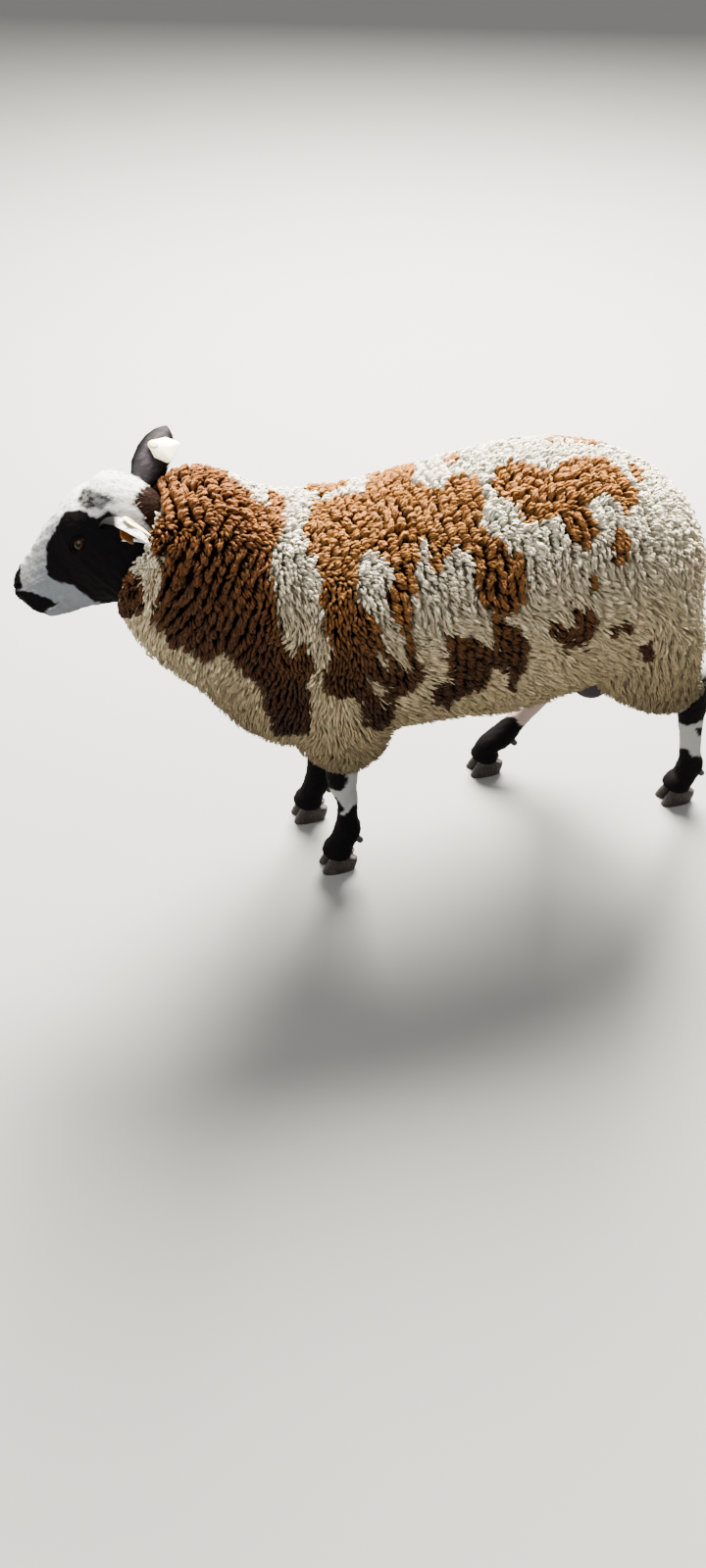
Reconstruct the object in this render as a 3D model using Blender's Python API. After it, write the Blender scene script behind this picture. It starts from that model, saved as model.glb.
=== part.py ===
# A life-size standing Dutch Spotted ram, in metres. It faces -X, with its left side at -Y and its soles at Z = 0.
# The trunk, neck, thighs and upper forelegs are given over the fleece.
# The head and the lower legs are given over the short hair.

import math

import bmesh
import bpy
import numpy as np
from mathutils import Matrix

# The fleece stands in rounded clumps on a core that lies inside the outline. Their tips reach a little past it.
CORE_DEPTH = 0.022
CLUMP_HEIGHT = 0.027
CLUMP_CROWN_HEIGHT = 0.80
CLUMP_CROWN_WIDTH = 0.74
CLUMP_LEAN = 0.22
CLUMP_RADIUS = 0.077
CLUMP_SINK = 0.014
CLUMP_SIDES = 6
CLUMP_COUNT = 93
LEG_CLUMP_SIZE = 0.82
SEED = 11

# The head: where the nose tip and the poll are, and the eyes and ears measured in the head's own directions.
NOSE = np.array([-0.572, 0.064, 0.600])
POLL = np.array([-0.350, -0.002, 0.762])
EYE_RADIUS = 0.0145
EYE_ALONG, EYE_OUT, EYE_UP = 0.174, 0.0480, 0.034
LID_THICKNESS = 0.0024
EAR_LENGTH = 0.104
EAR_WIDTH = 0.053
EAR_WALL = 0.0032
EAR_ROOTS = {1: (0.262, 0.032, 0.029), -1: (0.241, -0.038, 0.030)}
EAR_DIRECTIONS = {1: (0.52, 0.82, 0.25), -1: (0.44, -0.83, -0.19)}

# Where the feet stand, and where the hocks are above them.
LEFT_FORE = (-0.102, -0.072)
RIGHT_FORE = (-0.124, 0.066)
LEFT_HIND = (0.576, -0.074)
RIGHT_HIND = (0.244, 0.098)
LEFT_HOCK = (0.542, 0.255)
RIGHT_HOCK = (0.392, 0.250)
HOOF_LENGTH = 0.060
HOOF_HEIGHT = 0.042
CLAW_WIDTH = 0.0235
CLEFT = 0.0030

GAP = 0.0003
SKIN_MARGIN = 0.0004

# Moves the finished model so that the middle of its box is over the origin.
CENTRE_SHIFT = (-0.0115, -0.0083, 0.0)


def unit(v):
    return v / np.maximum(np.linalg.norm(v, axis=-1, keepdims=True), 1e-12)


# Shapes carried along a path


def smooth_rows(rows, distance):
    """Rows read from a smooth curve through the given ones, at distances along their first three values."""
    rows = np.array(rows, float)
    at = np.concatenate([[0], np.cumsum(np.linalg.norm(np.diff(rows[:, :3], axis=0), axis=1))])
    slope = np.gradient(rows, at, axis=0)
    want = np.clip(distance, 0, at[-1])
    i = np.clip(np.searchsorted(at, want, side="right") - 1, 0, len(at) - 2)
    step = (at[i + 1] - at[i])[:, None]
    t = (want - at[i])[:, None] / step
    left = (2 * t**3 - 3 * t**2 + 1) * rows[i] + (t**3 - 2 * t**2 + t) * step * slope[i]
    right = (3 * t**2 - 2 * t**3) * rows[i + 1] + (t**3 - t**2) * step * slope[i + 1]
    return left + right


def path_length(rows):
    points = np.array(rows, float)[:, :3]
    return np.linalg.norm(np.diff(points, axis=0), axis=1).sum()


def dome_distances(length, rings, start, end):
    """Distances along a path, closer together over the two rounded ends."""
    quarter = 1 - np.cos(np.linspace(0, math.pi / 2, 4))
    middle = np.linspace(start, length - end, rings)[1:-1]
    return np.concatenate([start * quarter, middle, length - end * quarter[::-1]])


def dome_scale(along, length, start, end):
    near = np.clip(np.minimum(along / start, (length - along) / end), 0, 1)
    return np.sqrt(np.clip(1 - (1 - near) ** 2, 0, 1))


def oval(angle, power):
    """The two factors of a rounded oval: how far out to the side, and how far up."""
    c, s = np.cos(angle), np.sin(angle)
    return np.abs(c) ** (2 / power) * np.sign(c), np.abs(s) ** (2 / power) * np.sign(s)


def tube_grid(rows, rings, sides, domes, power=2.15, grow=0.0):
    """Rings of points round a path that closes over a dome at each end.

    A row holds x, y, z, half width (along Y), and the reach to each side of the path in the XZ plane.
    """
    start, end = domes
    length = path_length(rows)
    along = dome_distances(length, rings, start, end)
    values = smooth_rows(rows, along)
    centre, half, above, below = values[:, :3], values[:, 3], values[:, 4], values[:, 5]
    dome = dome_scale(along, length, start, end)
    tangent = unit(np.gradient(centre, along, axis=0))
    across = np.array([0.0, 1.0, 0.0])
    across = unit(across - tangent * (tangent @ across)[:, None])
    normal = np.cross(tangent, across)
    angle = np.arange(sides) * 2 * math.pi / sides
    fan, rise = oval(angle, power)
    reach = np.where(rise > 0, above[:, None], below[:, None]) + grow
    wide = (half[:, None] + grow) * fan * dome[:, None]
    high = reach * rise * dome[:, None]
    points = centre[:, None] + across[:, None] * wide[..., None] + normal[:, None] * high[..., None]
    points[0] -= tangent[0] * grow
    points[-1] += tangent[-1] * grow
    return points


def closed_mesh(grid):
    """Vertices and faces of a tube whose first and last ring are drawn in to one point."""
    rings, sides = grid.shape[:2]
    vertices = np.vstack([grid[0].mean(0), grid[1:-1].reshape(-1, 3), grid[-1].mean(0)])
    last = len(vertices) - 1
    faces = []
    for j in range(sides):
        k = (j + 1) % sides
        faces.append((0, 1 + k, 1 + j))
        for i in range(rings - 3):
            a = 1 + i * sides
            faces.append((a + j, a + k, a + sides + k, a + sides + j))
        a = 1 + (rings - 3) * sides
        faces.append((a + j, a + k, last))
    return vertices, faces


def capped_mesh(grid):
    """Vertices and faces of a tube with a flat face on its first and last ring."""
    rings, sides = grid.shape[:2]
    faces = [tuple(range(sides))[::-1], tuple(range((rings - 1) * sides, rings * sides))]
    for i in range(rings - 1):
        for j in range(sides):
            k = (j + 1) % sides
            a, b = i * sides, (i + 1) * sides
            faces.append((a + j, a + k, b + k, b + j))
    return grid.reshape(-1, 3), faces


# Objects and Booleans


def add_object(name, vertices, faces, material=None):
    mesh = bpy.data.meshes.new(name)
    mesh.from_pydata([tuple(v) for v in vertices], [], [tuple(f) for f in faces])
    mesh.update()
    work = bmesh.new()
    work.from_mesh(mesh)
    bmesh.ops.triangulate(work, faces=work.faces[:])
    bmesh.ops.recalc_face_normals(work, faces=work.faces[:])
    work.to_mesh(mesh)
    work.free()
    obj = bpy.data.objects.new(name, mesh)
    bpy.context.scene.collection.objects.link(obj)
    if material:
        mesh.materials.append(material)
    return obj


def remove_object(obj):
    mesh = obj.data
    bpy.data.objects.remove(obj, do_unlink=True)
    if mesh.users == 0:
        bpy.data.meshes.remove(mesh)


def largest_surface(mesh):
    """Keeps the closed surface that reaches furthest, and drops every other one."""
    work = bmesh.new()
    work.from_mesh(mesh)
    work.verts.ensure_lookup_table()
    label = [-1] * len(work.verts)
    sizes = []
    for first in work.verts:
        if label[first.index] >= 0:
            continue
        label[first.index] = len(sizes)
        todo, members = [first], []
        while todo:
            vertex = todo.pop()
            members.append(tuple(vertex.co))
            for edge in vertex.link_edges:
                other = edge.other_vert(vertex)
                if label[other.index] < 0:
                    label[other.index] = len(sizes)
                    todo.append(other)
        span = np.ptp(np.array(members), axis=0)
        sizes.append(float(np.prod(span)))
    keep = int(np.argmax(sizes))
    drop = [vertex for vertex in work.verts if label[vertex.index] != keep]
    bmesh.ops.delete(work, geom=drop, context="VERTS")
    work.to_mesh(mesh)
    work.free()


def apply_modifiers(obj):
    graph = bpy.context.evaluated_depsgraph_get()
    result = bpy.data.meshes.new_from_object(obj.evaluated_get(graph))
    old = obj.data
    obj.modifiers.clear()
    obj.data = result
    bpy.data.meshes.remove(old)


def boolean(obj, operation, others):
    """Joins or cuts with all the other closed meshes at once, and keeps the largest closed surface."""
    group = bpy.data.collections.new("others")
    bpy.context.scene.collection.children.link(group)
    for other in others:
        group.objects.link(other)
    modifier = obj.modifiers.new("boolean", "BOOLEAN")
    modifier.operation = operation
    modifier.solver = "MANIFOLD"
    modifier.operand_type = "COLLECTION"
    modifier.collection = group
    apply_modifiers(obj)
    bpy.data.collections.remove(group)
    for other in others:
        remove_object(other)
    largest_surface(obj.data)
    return obj


def copy_object(obj, name):
    twin = obj.copy()
    twin.data = obj.data.copy()
    twin.name = name
    bpy.context.scene.collection.objects.link(twin)
    return twin


def set_material(obj, made):
    obj.data.materials.clear()
    obj.data.materials.append(made)


def material(name, colour, roughness):
    made = bpy.data.materials.new(name)
    made.use_nodes = True
    shader = made.node_tree.nodes["Principled BSDF"]
    shader.inputs["Base Color"].default_value = (*colour, 1.0)
    shader.inputs["Roughness"].default_value = roughness
    return made


def block(name, outline, low, high):
    """A closed block from the XZ outline of its side and two Y values."""
    ring = np.array(outline, float)
    grid = np.stack([np.insert(ring, 1, y, axis=1) for y in (low, high)])
    return add_object(name, *capped_mesh(grid))


# The woolly body. Rows: x, y, z, half width, reach up (or back on a leg), reach down (or forward on a leg).

TRUNK = [
    (-0.306, 0, 0.420, 0.080, 0.100, 0.090),
    (-0.235, 0, 0.450, 0.148, 0.190, 0.165),
    (-0.145, 0, 0.490, 0.186, 0.225, 0.190),
    (-0.040, 0, 0.505, 0.200, 0.213, 0.180),
    (0.060, 0, 0.508, 0.205, 0.226, 0.182),
    (0.160, 0, 0.508, 0.208, 0.239, 0.188),
    (0.250, 0, 0.512, 0.204, 0.240, 0.174),
    (0.330, 0, 0.513, 0.195, 0.220, 0.160),
    (0.395, 0, 0.510, 0.176, 0.187, 0.155),
    (0.445, 0, 0.503, 0.145, 0.140, 0.145),
    (0.478, 0, 0.495, 0.110, 0.100, 0.125),
    (0.500, 0, 0.485, 0.075, 0.070, 0.095),
]
NECK = [
    (-0.368, 0.004, 0.742, 0.086, 0.086, 0.100),
    (-0.335, 0.003, 0.698, 0.115, 0.120, 0.142),
    (-0.282, 0.002, 0.635, 0.138, 0.142, 0.170),
    (-0.214, 0, 0.582, 0.157, 0.160, 0.190),
    (-0.130, 0, 0.545, 0.165, 0.165, 0.180),
    (-0.050, 0, 0.525, 0.150, 0.150, 0.150),
]
TAIL = [
    (0.395, 0, 0.590, 0.032, 0.032, 0.032),
    (0.430, 0, 0.550, 0.038, 0.032, 0.032),
    (0.464, 0, 0.500, 0.043, 0.032, 0.032),
    (0.484, 0, 0.440, 0.042, 0.030, 0.030),
    (0.492, 0, 0.360, 0.033, 0.025, 0.025),
]


def upper_foreleg_rows(x, y):
    return [
        (-0.095, y * 1.60, 0.520, 0.070, 0.070, 0.110),
        (-0.105, y * 1.60, 0.430, 0.080, 0.076, 0.115),
        (x + 0.000, y * 1.35, 0.345, 0.072, 0.062, 0.090),
        (x - 0.002, y * 1.12, 0.298, 0.058, 0.046, 0.066),
        (x - 0.004, y, 0.262, 0.040, 0.034, 0.042),
    ]


def thigh_rows(hock, y, forward):
    """forward is how far the leg is brought forward at the stifle."""
    x, z = hock
    return [
        (0.380 - forward * 0.3, y * 1.00, 0.570, 0.085, 0.088, 0.130),
        (0.396 - forward * 0.7, y * 1.32, 0.465, 0.088, 0.096, 0.122),
        (0.428 - forward, y * 1.32, 0.385, 0.078, 0.084, 0.095),
        (0.474 - forward * 1.2, y * 1.20, 0.322, 0.060, 0.058, 0.064),
        (x - 0.030, y * 1.06, z + 0.050, 0.046, 0.044, 0.048),
        (x - 0.012, y, z + 0.028, 0.034, 0.034, 0.034),
    ]


def foreleg_rows(foot):
    x, y = foot
    return [
        (x - 0.006, y * 1.08, 0.330, 0.032, 0.036, 0.036),
        (x - 0.006, y * 1.04, 0.270, 0.027, 0.029, 0.029),
        (x - 0.007, y, 0.235, 0.027, 0.026, 0.029),
        (x - 0.006, y, 0.205, 0.024, 0.023, 0.025),
        (x - 0.001, y, 0.175, 0.0185, 0.020, 0.019),
        (x, y, 0.120, 0.0180, 0.020, 0.018),
        (x - 0.001, y, 0.090, 0.0235, 0.026, 0.022),
        (x - 0.010, y, 0.062, 0.0225, 0.023, 0.022),
        (x - 0.018, y, 0.040, 0.0260, 0.026, 0.028),
        (x - 0.021, y, 0.028, 0.0250, 0.024, 0.028),
    ]


def hindleg_rows(foot, hock):
    x, y = foot
    hock_x, hock_z = hock

    def shin(z):
        return x + (hock_x - x) * (z - 0.07) / (hock_z - 0.07)

    return [
        (hock_x - 0.034, y * 1.10, hock_z + 0.085, 0.034, 0.036, 0.046),
        (hock_x - 0.012, y * 1.05, hock_z + 0.040, 0.027, 0.030, 0.036),
        (hock_x, y, hock_z, 0.0260, 0.029, 0.029),
        (shin(hock_z - 0.045), y, hock_z - 0.045, 0.0220, 0.022, 0.024),
        (shin(0.150), y, 0.150, 0.0180, 0.020, 0.019),
        (shin(0.112), y, 0.112, 0.0190, 0.021, 0.019),
        (shin(0.086), y, 0.086, 0.0235, 0.026, 0.022),
        (shin(0.062) - 0.010, y, 0.060, 0.0225, 0.023, 0.022),
        (x - 0.019, y, 0.040, 0.0260, 0.026, 0.028),
        (x - 0.022, y, 0.028, 0.0250, 0.024, 0.028),
    ]


LEG_RINGS, LEG_SIDES = 13, 8
LEG_DOMES = (0.020, 0.010)

SCROTUM = [
    (0.375, 0, 0.400, 0.030, 0.026, 0.026),
    (0.372, 0, 0.350, 0.036, 0.030, 0.030),
    (0.368, 0, 0.300, 0.046, 0.036, 0.036),
    (0.366, 0, 0.255, 0.040, 0.032, 0.032),
]
SHEATH = [
    (0.215, 0, 0.345, 0.022, 0.020, 0.020),
    (0.175, 0, 0.325, 0.022, 0.020, 0.020),
    (0.145, 0, 0.305, 0.016, 0.015, 0.015),
]


# The head

HEAD_LENGTH = float(np.linalg.norm(POLL - NOSE))
HEAD_BACK = (POLL - NOSE) / HEAD_LENGTH
HEAD_RIGHT = unit(np.array([-HEAD_BACK[1], HEAD_BACK[0], 0.0]))
HEAD_UP = np.cross(HEAD_BACK, HEAD_RIGHT)
HEAD_DOMES = (0.026, 0.058)
HEAD_POWER = 2.3

# Share of the length from the nose, half width, reach to the brow, reach to the jaw, how much wider the brow is.
HEAD_ROWS = [
    (0.00, 0.024, 0.022, 0.036, 0.00),
    (0.07, 0.030, 0.031, 0.051, 0.02),
    (0.15, 0.033, 0.039, 0.062, 0.02),
    (0.27, 0.036, 0.050, 0.070, 0.04),
    (0.41, 0.045, 0.064, 0.086, 0.10),
    (0.55, 0.058, 0.076, 0.102, 0.12),
    (0.66, 0.062, 0.080, 0.110, 0.10),
    (0.78, 0.060, 0.077, 0.108, 0.05),
    (0.90, 0.055, 0.072, 0.096, 0.02),
    (1.00, 0.048, 0.062, 0.066, 0.00),
]

# Swellings and hollows on both sides: share, degrees up from the side, height, reach along, degrees of reach round.
HEAD_FORMS = [
    (0.620, 42, 0.0055, 0.080, 22),
    (0.450, 22, -0.0035, 0.075, 24),
    (0.690, -38, 0.0040, 0.110, 30),
    (0.270, -12, -0.0020, 0.075, 26),
    (0.050, 28, 0.0030, 0.040, 22),
    (0.085, -26, 0.0030, 0.055, 16),
    (0.085, -60, 0.0025, 0.065, 16),
    (0.860, 90, 0.0070, 0.100, 40),
]


def head_points(share, angle, grow=0.0):
    """Points on the head. angle runs from the right side (0) over the brow (90 degrees) to the left (180)."""
    share, angle = np.broadcast_arrays(share, angle)
    rows = np.array(HEAD_ROWS)
    half, above, below, lean = [np.interp(share, rows[:, 0], rows[:, k]) for k in range(1, 5)]
    along = share * HEAD_LENGTH
    dome = dome_scale(along, HEAD_LENGTH, *HEAD_DOMES)
    fan, rise = oval(angle, HEAD_POWER)
    wide = half * (1 + lean * rise) * fan * dome
    high = np.where(rise > 0, above, below) * rise * dome
    degrees = np.degrees(np.arcsin(np.clip(np.sin(angle), -1, 1)))
    swell = np.zeros(share.shape)
    for at, up, height, reach_along, reach_round in HEAD_FORMS:
        away = ((share - at) / reach_along) ** 2 + ((degrees - up) / reach_round) ** 2
        swell = swell + height * np.exp(-away)
    out = 1 + (swell * dome + grow) / np.maximum(np.hypot(wide, high), 1e-9)
    wide, high = wide * out, high * out
    return NOSE + HEAD_BACK * along[..., None] + HEAD_RIGHT * wide[..., None] + HEAD_UP * high[..., None]


def head_place(along, right, up):
    """A point from its distance back from the nose tip, to the ram's right and up from the head's line."""
    return NOSE + HEAD_BACK * along + HEAD_RIGHT * right + HEAD_UP * up


def head_direction(back, right, up):
    return unit(HEAD_BACK * back + HEAD_RIGHT * right + HEAD_UP * up)


def head_blank(name, grow=0.0, rings=16, sides=18):
    """The head without its openings."""
    along = dome_distances(HEAD_LENGTH, rings, *HEAD_DOMES)
    angle = np.arange(sides) * 2 * math.pi / sides
    grid = head_points((along / HEAD_LENGTH)[:, None], angle[None], grow)
    grid[0] -= HEAD_BACK * grow
    grid[-1] += HEAD_BACK * grow
    return add_object(name, *closed_mesh(grid))


def ball(name, centre, radius, pole, rings=7, sides=10):
    """A faceted sphere whose poles lie along the given direction."""
    across = unit(np.cross(pole, HEAD_UP))
    other = np.cross(pole, across)
    down = np.linspace(0, math.pi, rings + 1)[:, None, None]
    turn = (np.arange(sides) * 2 * math.pi / sides)[None, :, None]
    ring = across * np.cos(turn) + other * np.sin(turn)
    return add_object(name, *closed_mesh(centre + radius * (ring * np.sin(down) - pole * np.cos(down))))


def eye_frame(side):
    """Centre, and the directions outward, to the inner corner and up, of the right eye (1) or the left (-1)."""
    centre = head_place(EYE_ALONG, side * EYE_OUT, EYE_UP)
    outward = head_direction(-0.18, side * 0.95, 0.24)
    corner = head_direction(-0.96, side * 0.10, -0.24)
    corner = unit(corner - outward * (corner @ outward))
    up = np.cross(outward, corner)
    return centre, outward, corner, up * np.sign(up @ HEAD_UP)


LID_HALF_LENGTH, LID_RISE, LID_DROP = 0.0135, 0.0072, 0.0058


def almond(name, side):
    """The gap between the lids, as a prism that points out of the eye."""
    centre, outward, corner, up = eye_frame(side)
    turn = np.linspace(0, 2 * math.pi, 14, endpoint=False)
    wide = LID_HALF_LENGTH * np.cos(turn)
    high = np.where(np.sin(turn) > 0, LID_RISE, LID_DROP) * np.sin(turn) * (1 - 0.25 * np.cos(turn) ** 2)
    outline = centre + corner * wide[:, None] + up * high[:, None]
    return add_object(name, *capped_mesh(np.stack([outline + outward * reach for reach in (0.006, 0.030)])))


# A nostril's stations: share of its length, half width and depth.
NOSTRIL = [(0.0, 0.0012, 0.004), (0.35, 0.0034, 0.010), (0.75, 0.0024, 0.007), (1.0, 0.0008, 0.003)]


def nostril(name, side):
    """A comma-shaped hollow that runs back and up over the side of the nose."""
    start = head_points(np.array(0.012), np.radians(14 if side > 0 else 166))
    end = head_points(np.array(0.105), np.radians(38 if side > 0 else 142))
    inward = head_direction(0.55, -side * 0.80, -0.15)
    across = unit(np.cross(end - start, inward))
    grid = []
    for t, half_width, depth in NOSTRIL:
        middle = start * (1 - t) + end * t + HEAD_UP * 0.003 * math.sin(math.pi * t)
        outer, inner = middle - inward * 0.006, middle + inward * depth
        side_step = across * half_width
        grid.append([outer - side_step, outer + side_step, inner + side_step * 0.5, inner - side_step * 0.5])
    return add_object(name, *capped_mesh(np.array(grid)))


MOUTH_END = 0.300
MOUTH_HEIGHT = 0.0013
MOUTH_DEPTH = 0.0045


def mouth_line(name):
    """A thin U-shaped sheet that follows the muzzle's outline just below its widest part."""
    share = np.linspace(0.01, MOUTH_END, 7)
    angle = np.radians(np.interp(share, (0.0, 0.10, 0.20, MOUTH_END), (-30, -27, -25, -17)))
    right, left = head_points(share, angle), head_points(share, math.pi - angle)
    middle = (right + left) / 2
    front = head_points(np.array([0.0025]), np.radians([-30.0]))
    front = (front + head_points(np.array([0.0025]), math.pi - np.radians([-30.0]))) / 2 - HEAD_BACK * 0.002
    line = np.concatenate([right[::-1], front, left])
    middle = np.concatenate([middle[::-1], front + HEAD_BACK * 0.016, middle])
    inward = unit(middle - line)
    ends = np.linspace(0, 1, len(line))
    depth = MOUTH_DEPTH * np.clip(np.minimum(ends, 1 - ends) * 8, 0.15, 1)[:, None]
    up = HEAD_UP * MOUTH_HEIGHT / 2
    outer, inner = line - inward * 0.004, line + inward * depth
    grid = np.stack([outer - up, outer + up, inner + up * 0.4, inner - up * 0.4], axis=1)
    return add_object(name, *capped_mesh(grid))


def ear_frame(side):
    """Root, and the directions along the ear, to its rear edge and out of its opening."""
    root = head_place(*EAR_ROOTS[side])
    back, right, up = EAR_DIRECTIONS[side]
    along = head_direction(back, right, up)
    opening = head_direction(-0.53, side * 0.53, -0.62)
    opening = unit(opening - along * (along @ opening))
    return root, along, np.cross(opening, along) * side, opening


# Stations of an ear: share of its length, share of its half width, and the curl of its sides in radians.
EAR_ROWS = [
    (0.00, 0.46, 2.20),
    (0.12, 0.74, 1.80),
    (0.30, 1.00, 1.25),
    (0.55, 0.98, 0.95),
    (0.74, 0.82, 0.85),
    (0.88, 0.54, 0.80),
    (0.96, 0.26, 0.75),
    (1.00, 0.05, 0.75),
]


def ear_surface(side, t, u):
    """Points of the ear's middle sheet. t runs from root to tip, u from -1 to 1 across the cup."""
    root, along, across, opening = ear_frame(side)
    rows = np.array(EAR_ROWS)
    half = EAR_WIDTH / 2 * np.interp(t, rows[:, 0], rows[:, 1])
    curl = np.interp(t, rows[:, 0], rows[:, 2])
    scale = half / np.sin(np.minimum(curl, math.pi / 2))
    wide = scale * np.sin(u * curl)
    deep = scale * (1 - np.cos(u * curl)) - half * 0.35
    place = root + along * (EAR_LENGTH * t)[..., None] + across * wide[..., None] + opening * deep[..., None]
    return place - np.array([0, 0, 0.10 * EAR_LENGTH]) * (t**2)[..., None]


def ear(name, side):
    """A cupped ear: the sheet given a wall, thinner towards its rim."""
    rows = np.array([0.0, 0.12, 0.27, 0.44, 0.60, 0.76, 0.88, 0.96, 1.0])
    t, u = np.meshgrid(rows, np.linspace(-1, 1, 8), indexing="ij")
    sheet = ear_surface(side, t, u)
    normal = unit(np.cross(np.gradient(sheet, axis=0), np.gradient(sheet, axis=1)))
    wall = (EAR_WALL / 2 * (1 - 0.45 * np.abs(u) ** 3) * (1 - 0.35 * t))[..., None]
    grid = np.concatenate([sheet + normal * wall, (sheet - normal * wall)[:, ::-1]], axis=1)
    return add_object(name, *capped_mesh(grid))


# The room that the wool leaves round an ear and its tag: share of the ear's length, and radius.
EAR_ROOM = [(-0.20, 0.020), (0.10, 0.028), (0.35, 0.038), (0.65, 0.043), (0.95, 0.041), (1.20, 0.024)]


def ear_room(name, side):
    root, along, rear, opening = ear_frame(side)
    turn = (np.arange(10) * 2 * math.pi / 10)[:, None]
    ring = rear * np.cos(turn) + opening * np.sin(turn)
    rings = [root + along * EAR_LENGTH * t + ring * radius for t, radius in EAR_ROOM]
    return add_object(name, *capped_mesh(np.stack(rings)))


TAG_THICKNESS = 0.0016
TAG_LENGTH = 0.040
TAG_WIDTH = 0.040
TAG_NECK = 0.0085
TAG_CORNER = 0.006
TAG_PIN_RADIUS = 0.0026
TAG_AT = 0.62
TAG_BACK_REACH = EAR_WALL / 2 + 0.0012
TAG_FRONT_REACH = 0.0085
TAG_FRONT_LIFT = 0.75

# How far each tag's back flag and front flag are turned about the pin, in degrees from the ear's tip to its rear.
TAG_TURNS = {1: (106, 118), -1: (36, 56)}


def tag_frame(side, turn, lift=0.0):
    """Where the pin goes through the ear, out of the ear's back, and along, across and out of a turned flag."""
    at, further = ear_surface(side, np.array([TAG_AT, TAG_AT + 0.05]), np.zeros(2))
    _, _, rear, opening = ear_frame(side)
    tip = unit(further - at)
    back = unit(np.cross(tip, rear))
    back = back * -np.sign(back @ opening)
    rear = unit(rear - tip * (rear @ tip))
    angle = math.radians(turn)
    flat = tip * math.cos(angle) + rear * math.sin(angle)
    along = unit(flat - back * lift)
    facing = unit(back + flat * lift)
    return at, back, along, np.cross(facing, along), facing


def arc(x, y, radius, start, stop, count):
    angle = np.radians(np.linspace(start, stop, count))
    return [(x + radius * math.cos(a), y + radius * math.sin(a)) for a in angle]


def tag_plate(name, at, normal, along, across):
    """A flag with a narrow, round neck about the pin and rounded corners at its wide end."""
    far, wide = TAG_LENGTH - TAG_NECK - TAG_CORNER, TAG_WIDTH / 2 - TAG_CORNER
    outline = arc(0, 0, TAG_NECK, 110, 250, 6)
    outline.append((0.009, -TAG_WIDTH / 2 + 0.001))
    outline += arc(far, -wide, TAG_CORNER, -90, 0, 3)
    outline += arc(far, wide, TAG_CORNER, 0, 90, 3)
    outline.append((0.009, TAG_WIDTH / 2 - 0.001))
    flat = np.array(outline)
    ring = at + along * flat[:, :1] + across * flat[:, 1:]
    return add_object(name, *capped_mesh(np.stack([ring, ring + normal * TAG_THICKNESS])))


def disc(name, centre, axis, radius, low, high, sides=8):
    across = unit(np.cross(axis, HEAD_UP))
    other = np.cross(axis, across)
    turn = (np.arange(sides) * 2 * math.pi / sides)[:, None]
    ring = centre + (across * np.cos(turn) + other * np.sin(turn)) * radius
    return add_object(name, *capped_mesh(np.stack([ring + axis * low, ring + axis * high])))


# The feet

# A claw's levels: share of its height, size of its outline, and how far the outline is set back.
CLAW_LEVELS = [(0.0, 1.00, 0.000), (0.30, 0.96, 0.004), (0.70, 0.86, 0.010), (1.0, 0.72, 0.015)]


def claw(name, foot, side, grow=0.0):
    """One half of a cloven hoof: flat below, round at the toe, straight in the cleft, lower at the heel."""
    x, y = foot
    turn = (np.arange(10) + 0.5) * 2 * math.pi / 10
    fan, rise = oval(turn, 2.6)
    rings = []
    for level, size, back in CLAW_LEVELS:
        along = x - 0.020 + back + fan * (HOOF_LENGTH / 2 * size + grow)
        wide = CLAW_WIDTH * size / 2 * (1 + rise) + grow * np.sign(rise)
        height = HOOF_HEIGHT * level * (1 - 0.25 * (fan + 1))
        height = height + (grow if level == 1.0 else -grow if level == 0.0 else 0)
        rings.append(np.stack([along, y + side * (CLEFT / 2 + wide), height], axis=1))
    return add_object(name, *capped_mesh(np.array(rings)))


def dewclaw(name, foot, side, fetlock_x, grow=0.0):
    """A small blunt claw at the back of the fetlock."""
    start = np.array([fetlock_x + 0.012, foot[1] + side * 0.012, 0.083])
    axis = unit(np.array([0.62, side * 0.15, -0.76]))
    across = unit(np.cross(axis, np.array([0, 1.0, 0])))
    other = np.cross(axis, across)
    turn = (np.arange(7) * 2 * math.pi / 7)[:, None]
    ring = across * np.cos(turn) + other * np.sin(turn)
    sizes = ((-grow, 0.0060), (0.012, 0.0062), (0.021 + grow, 0.0030))
    rings = [start + axis * far + ring * (size + grow) for far, size in sizes]
    return add_object(name, *capped_mesh(np.stack(rings)))


# The fleece


def clump(centre, normal, lie, size, turn):
    """A rounded clump: a wide root ring, a crown ring and a low tip, drawn along the lie of the wool."""
    sides = CLUMP_SIDES
    across = unit(np.cross(normal, lie))
    along = np.cross(across, normal)
    angle = turn + np.arange(sides) * 2 * math.pi / sides
    ring = across * np.cos(angle)[:, None] + along * np.sin(angle)[:, None]
    levels = ((-CLUMP_SINK, 1.0), (CLUMP_CROWN_HEIGHT * CLUMP_HEIGHT, CLUMP_CROWN_WIDTH))
    drawn = normal + along * CLUMP_LEAN
    points = [centre + drawn * level + ring * (CLUMP_RADIUS * size * share) for level, share in levels]
    vertices = np.vstack([*points, centre + drawn * CLUMP_HEIGHT])
    faces = [tuple(range(sides))[::-1]]
    for j in range(sides):
        k = (j + 1) % sides
        faces.append((j, k, sides + k, sides + j))
        faces.append((sides + j, sides + k, 2 * sides))
    return vertices, faces


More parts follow.
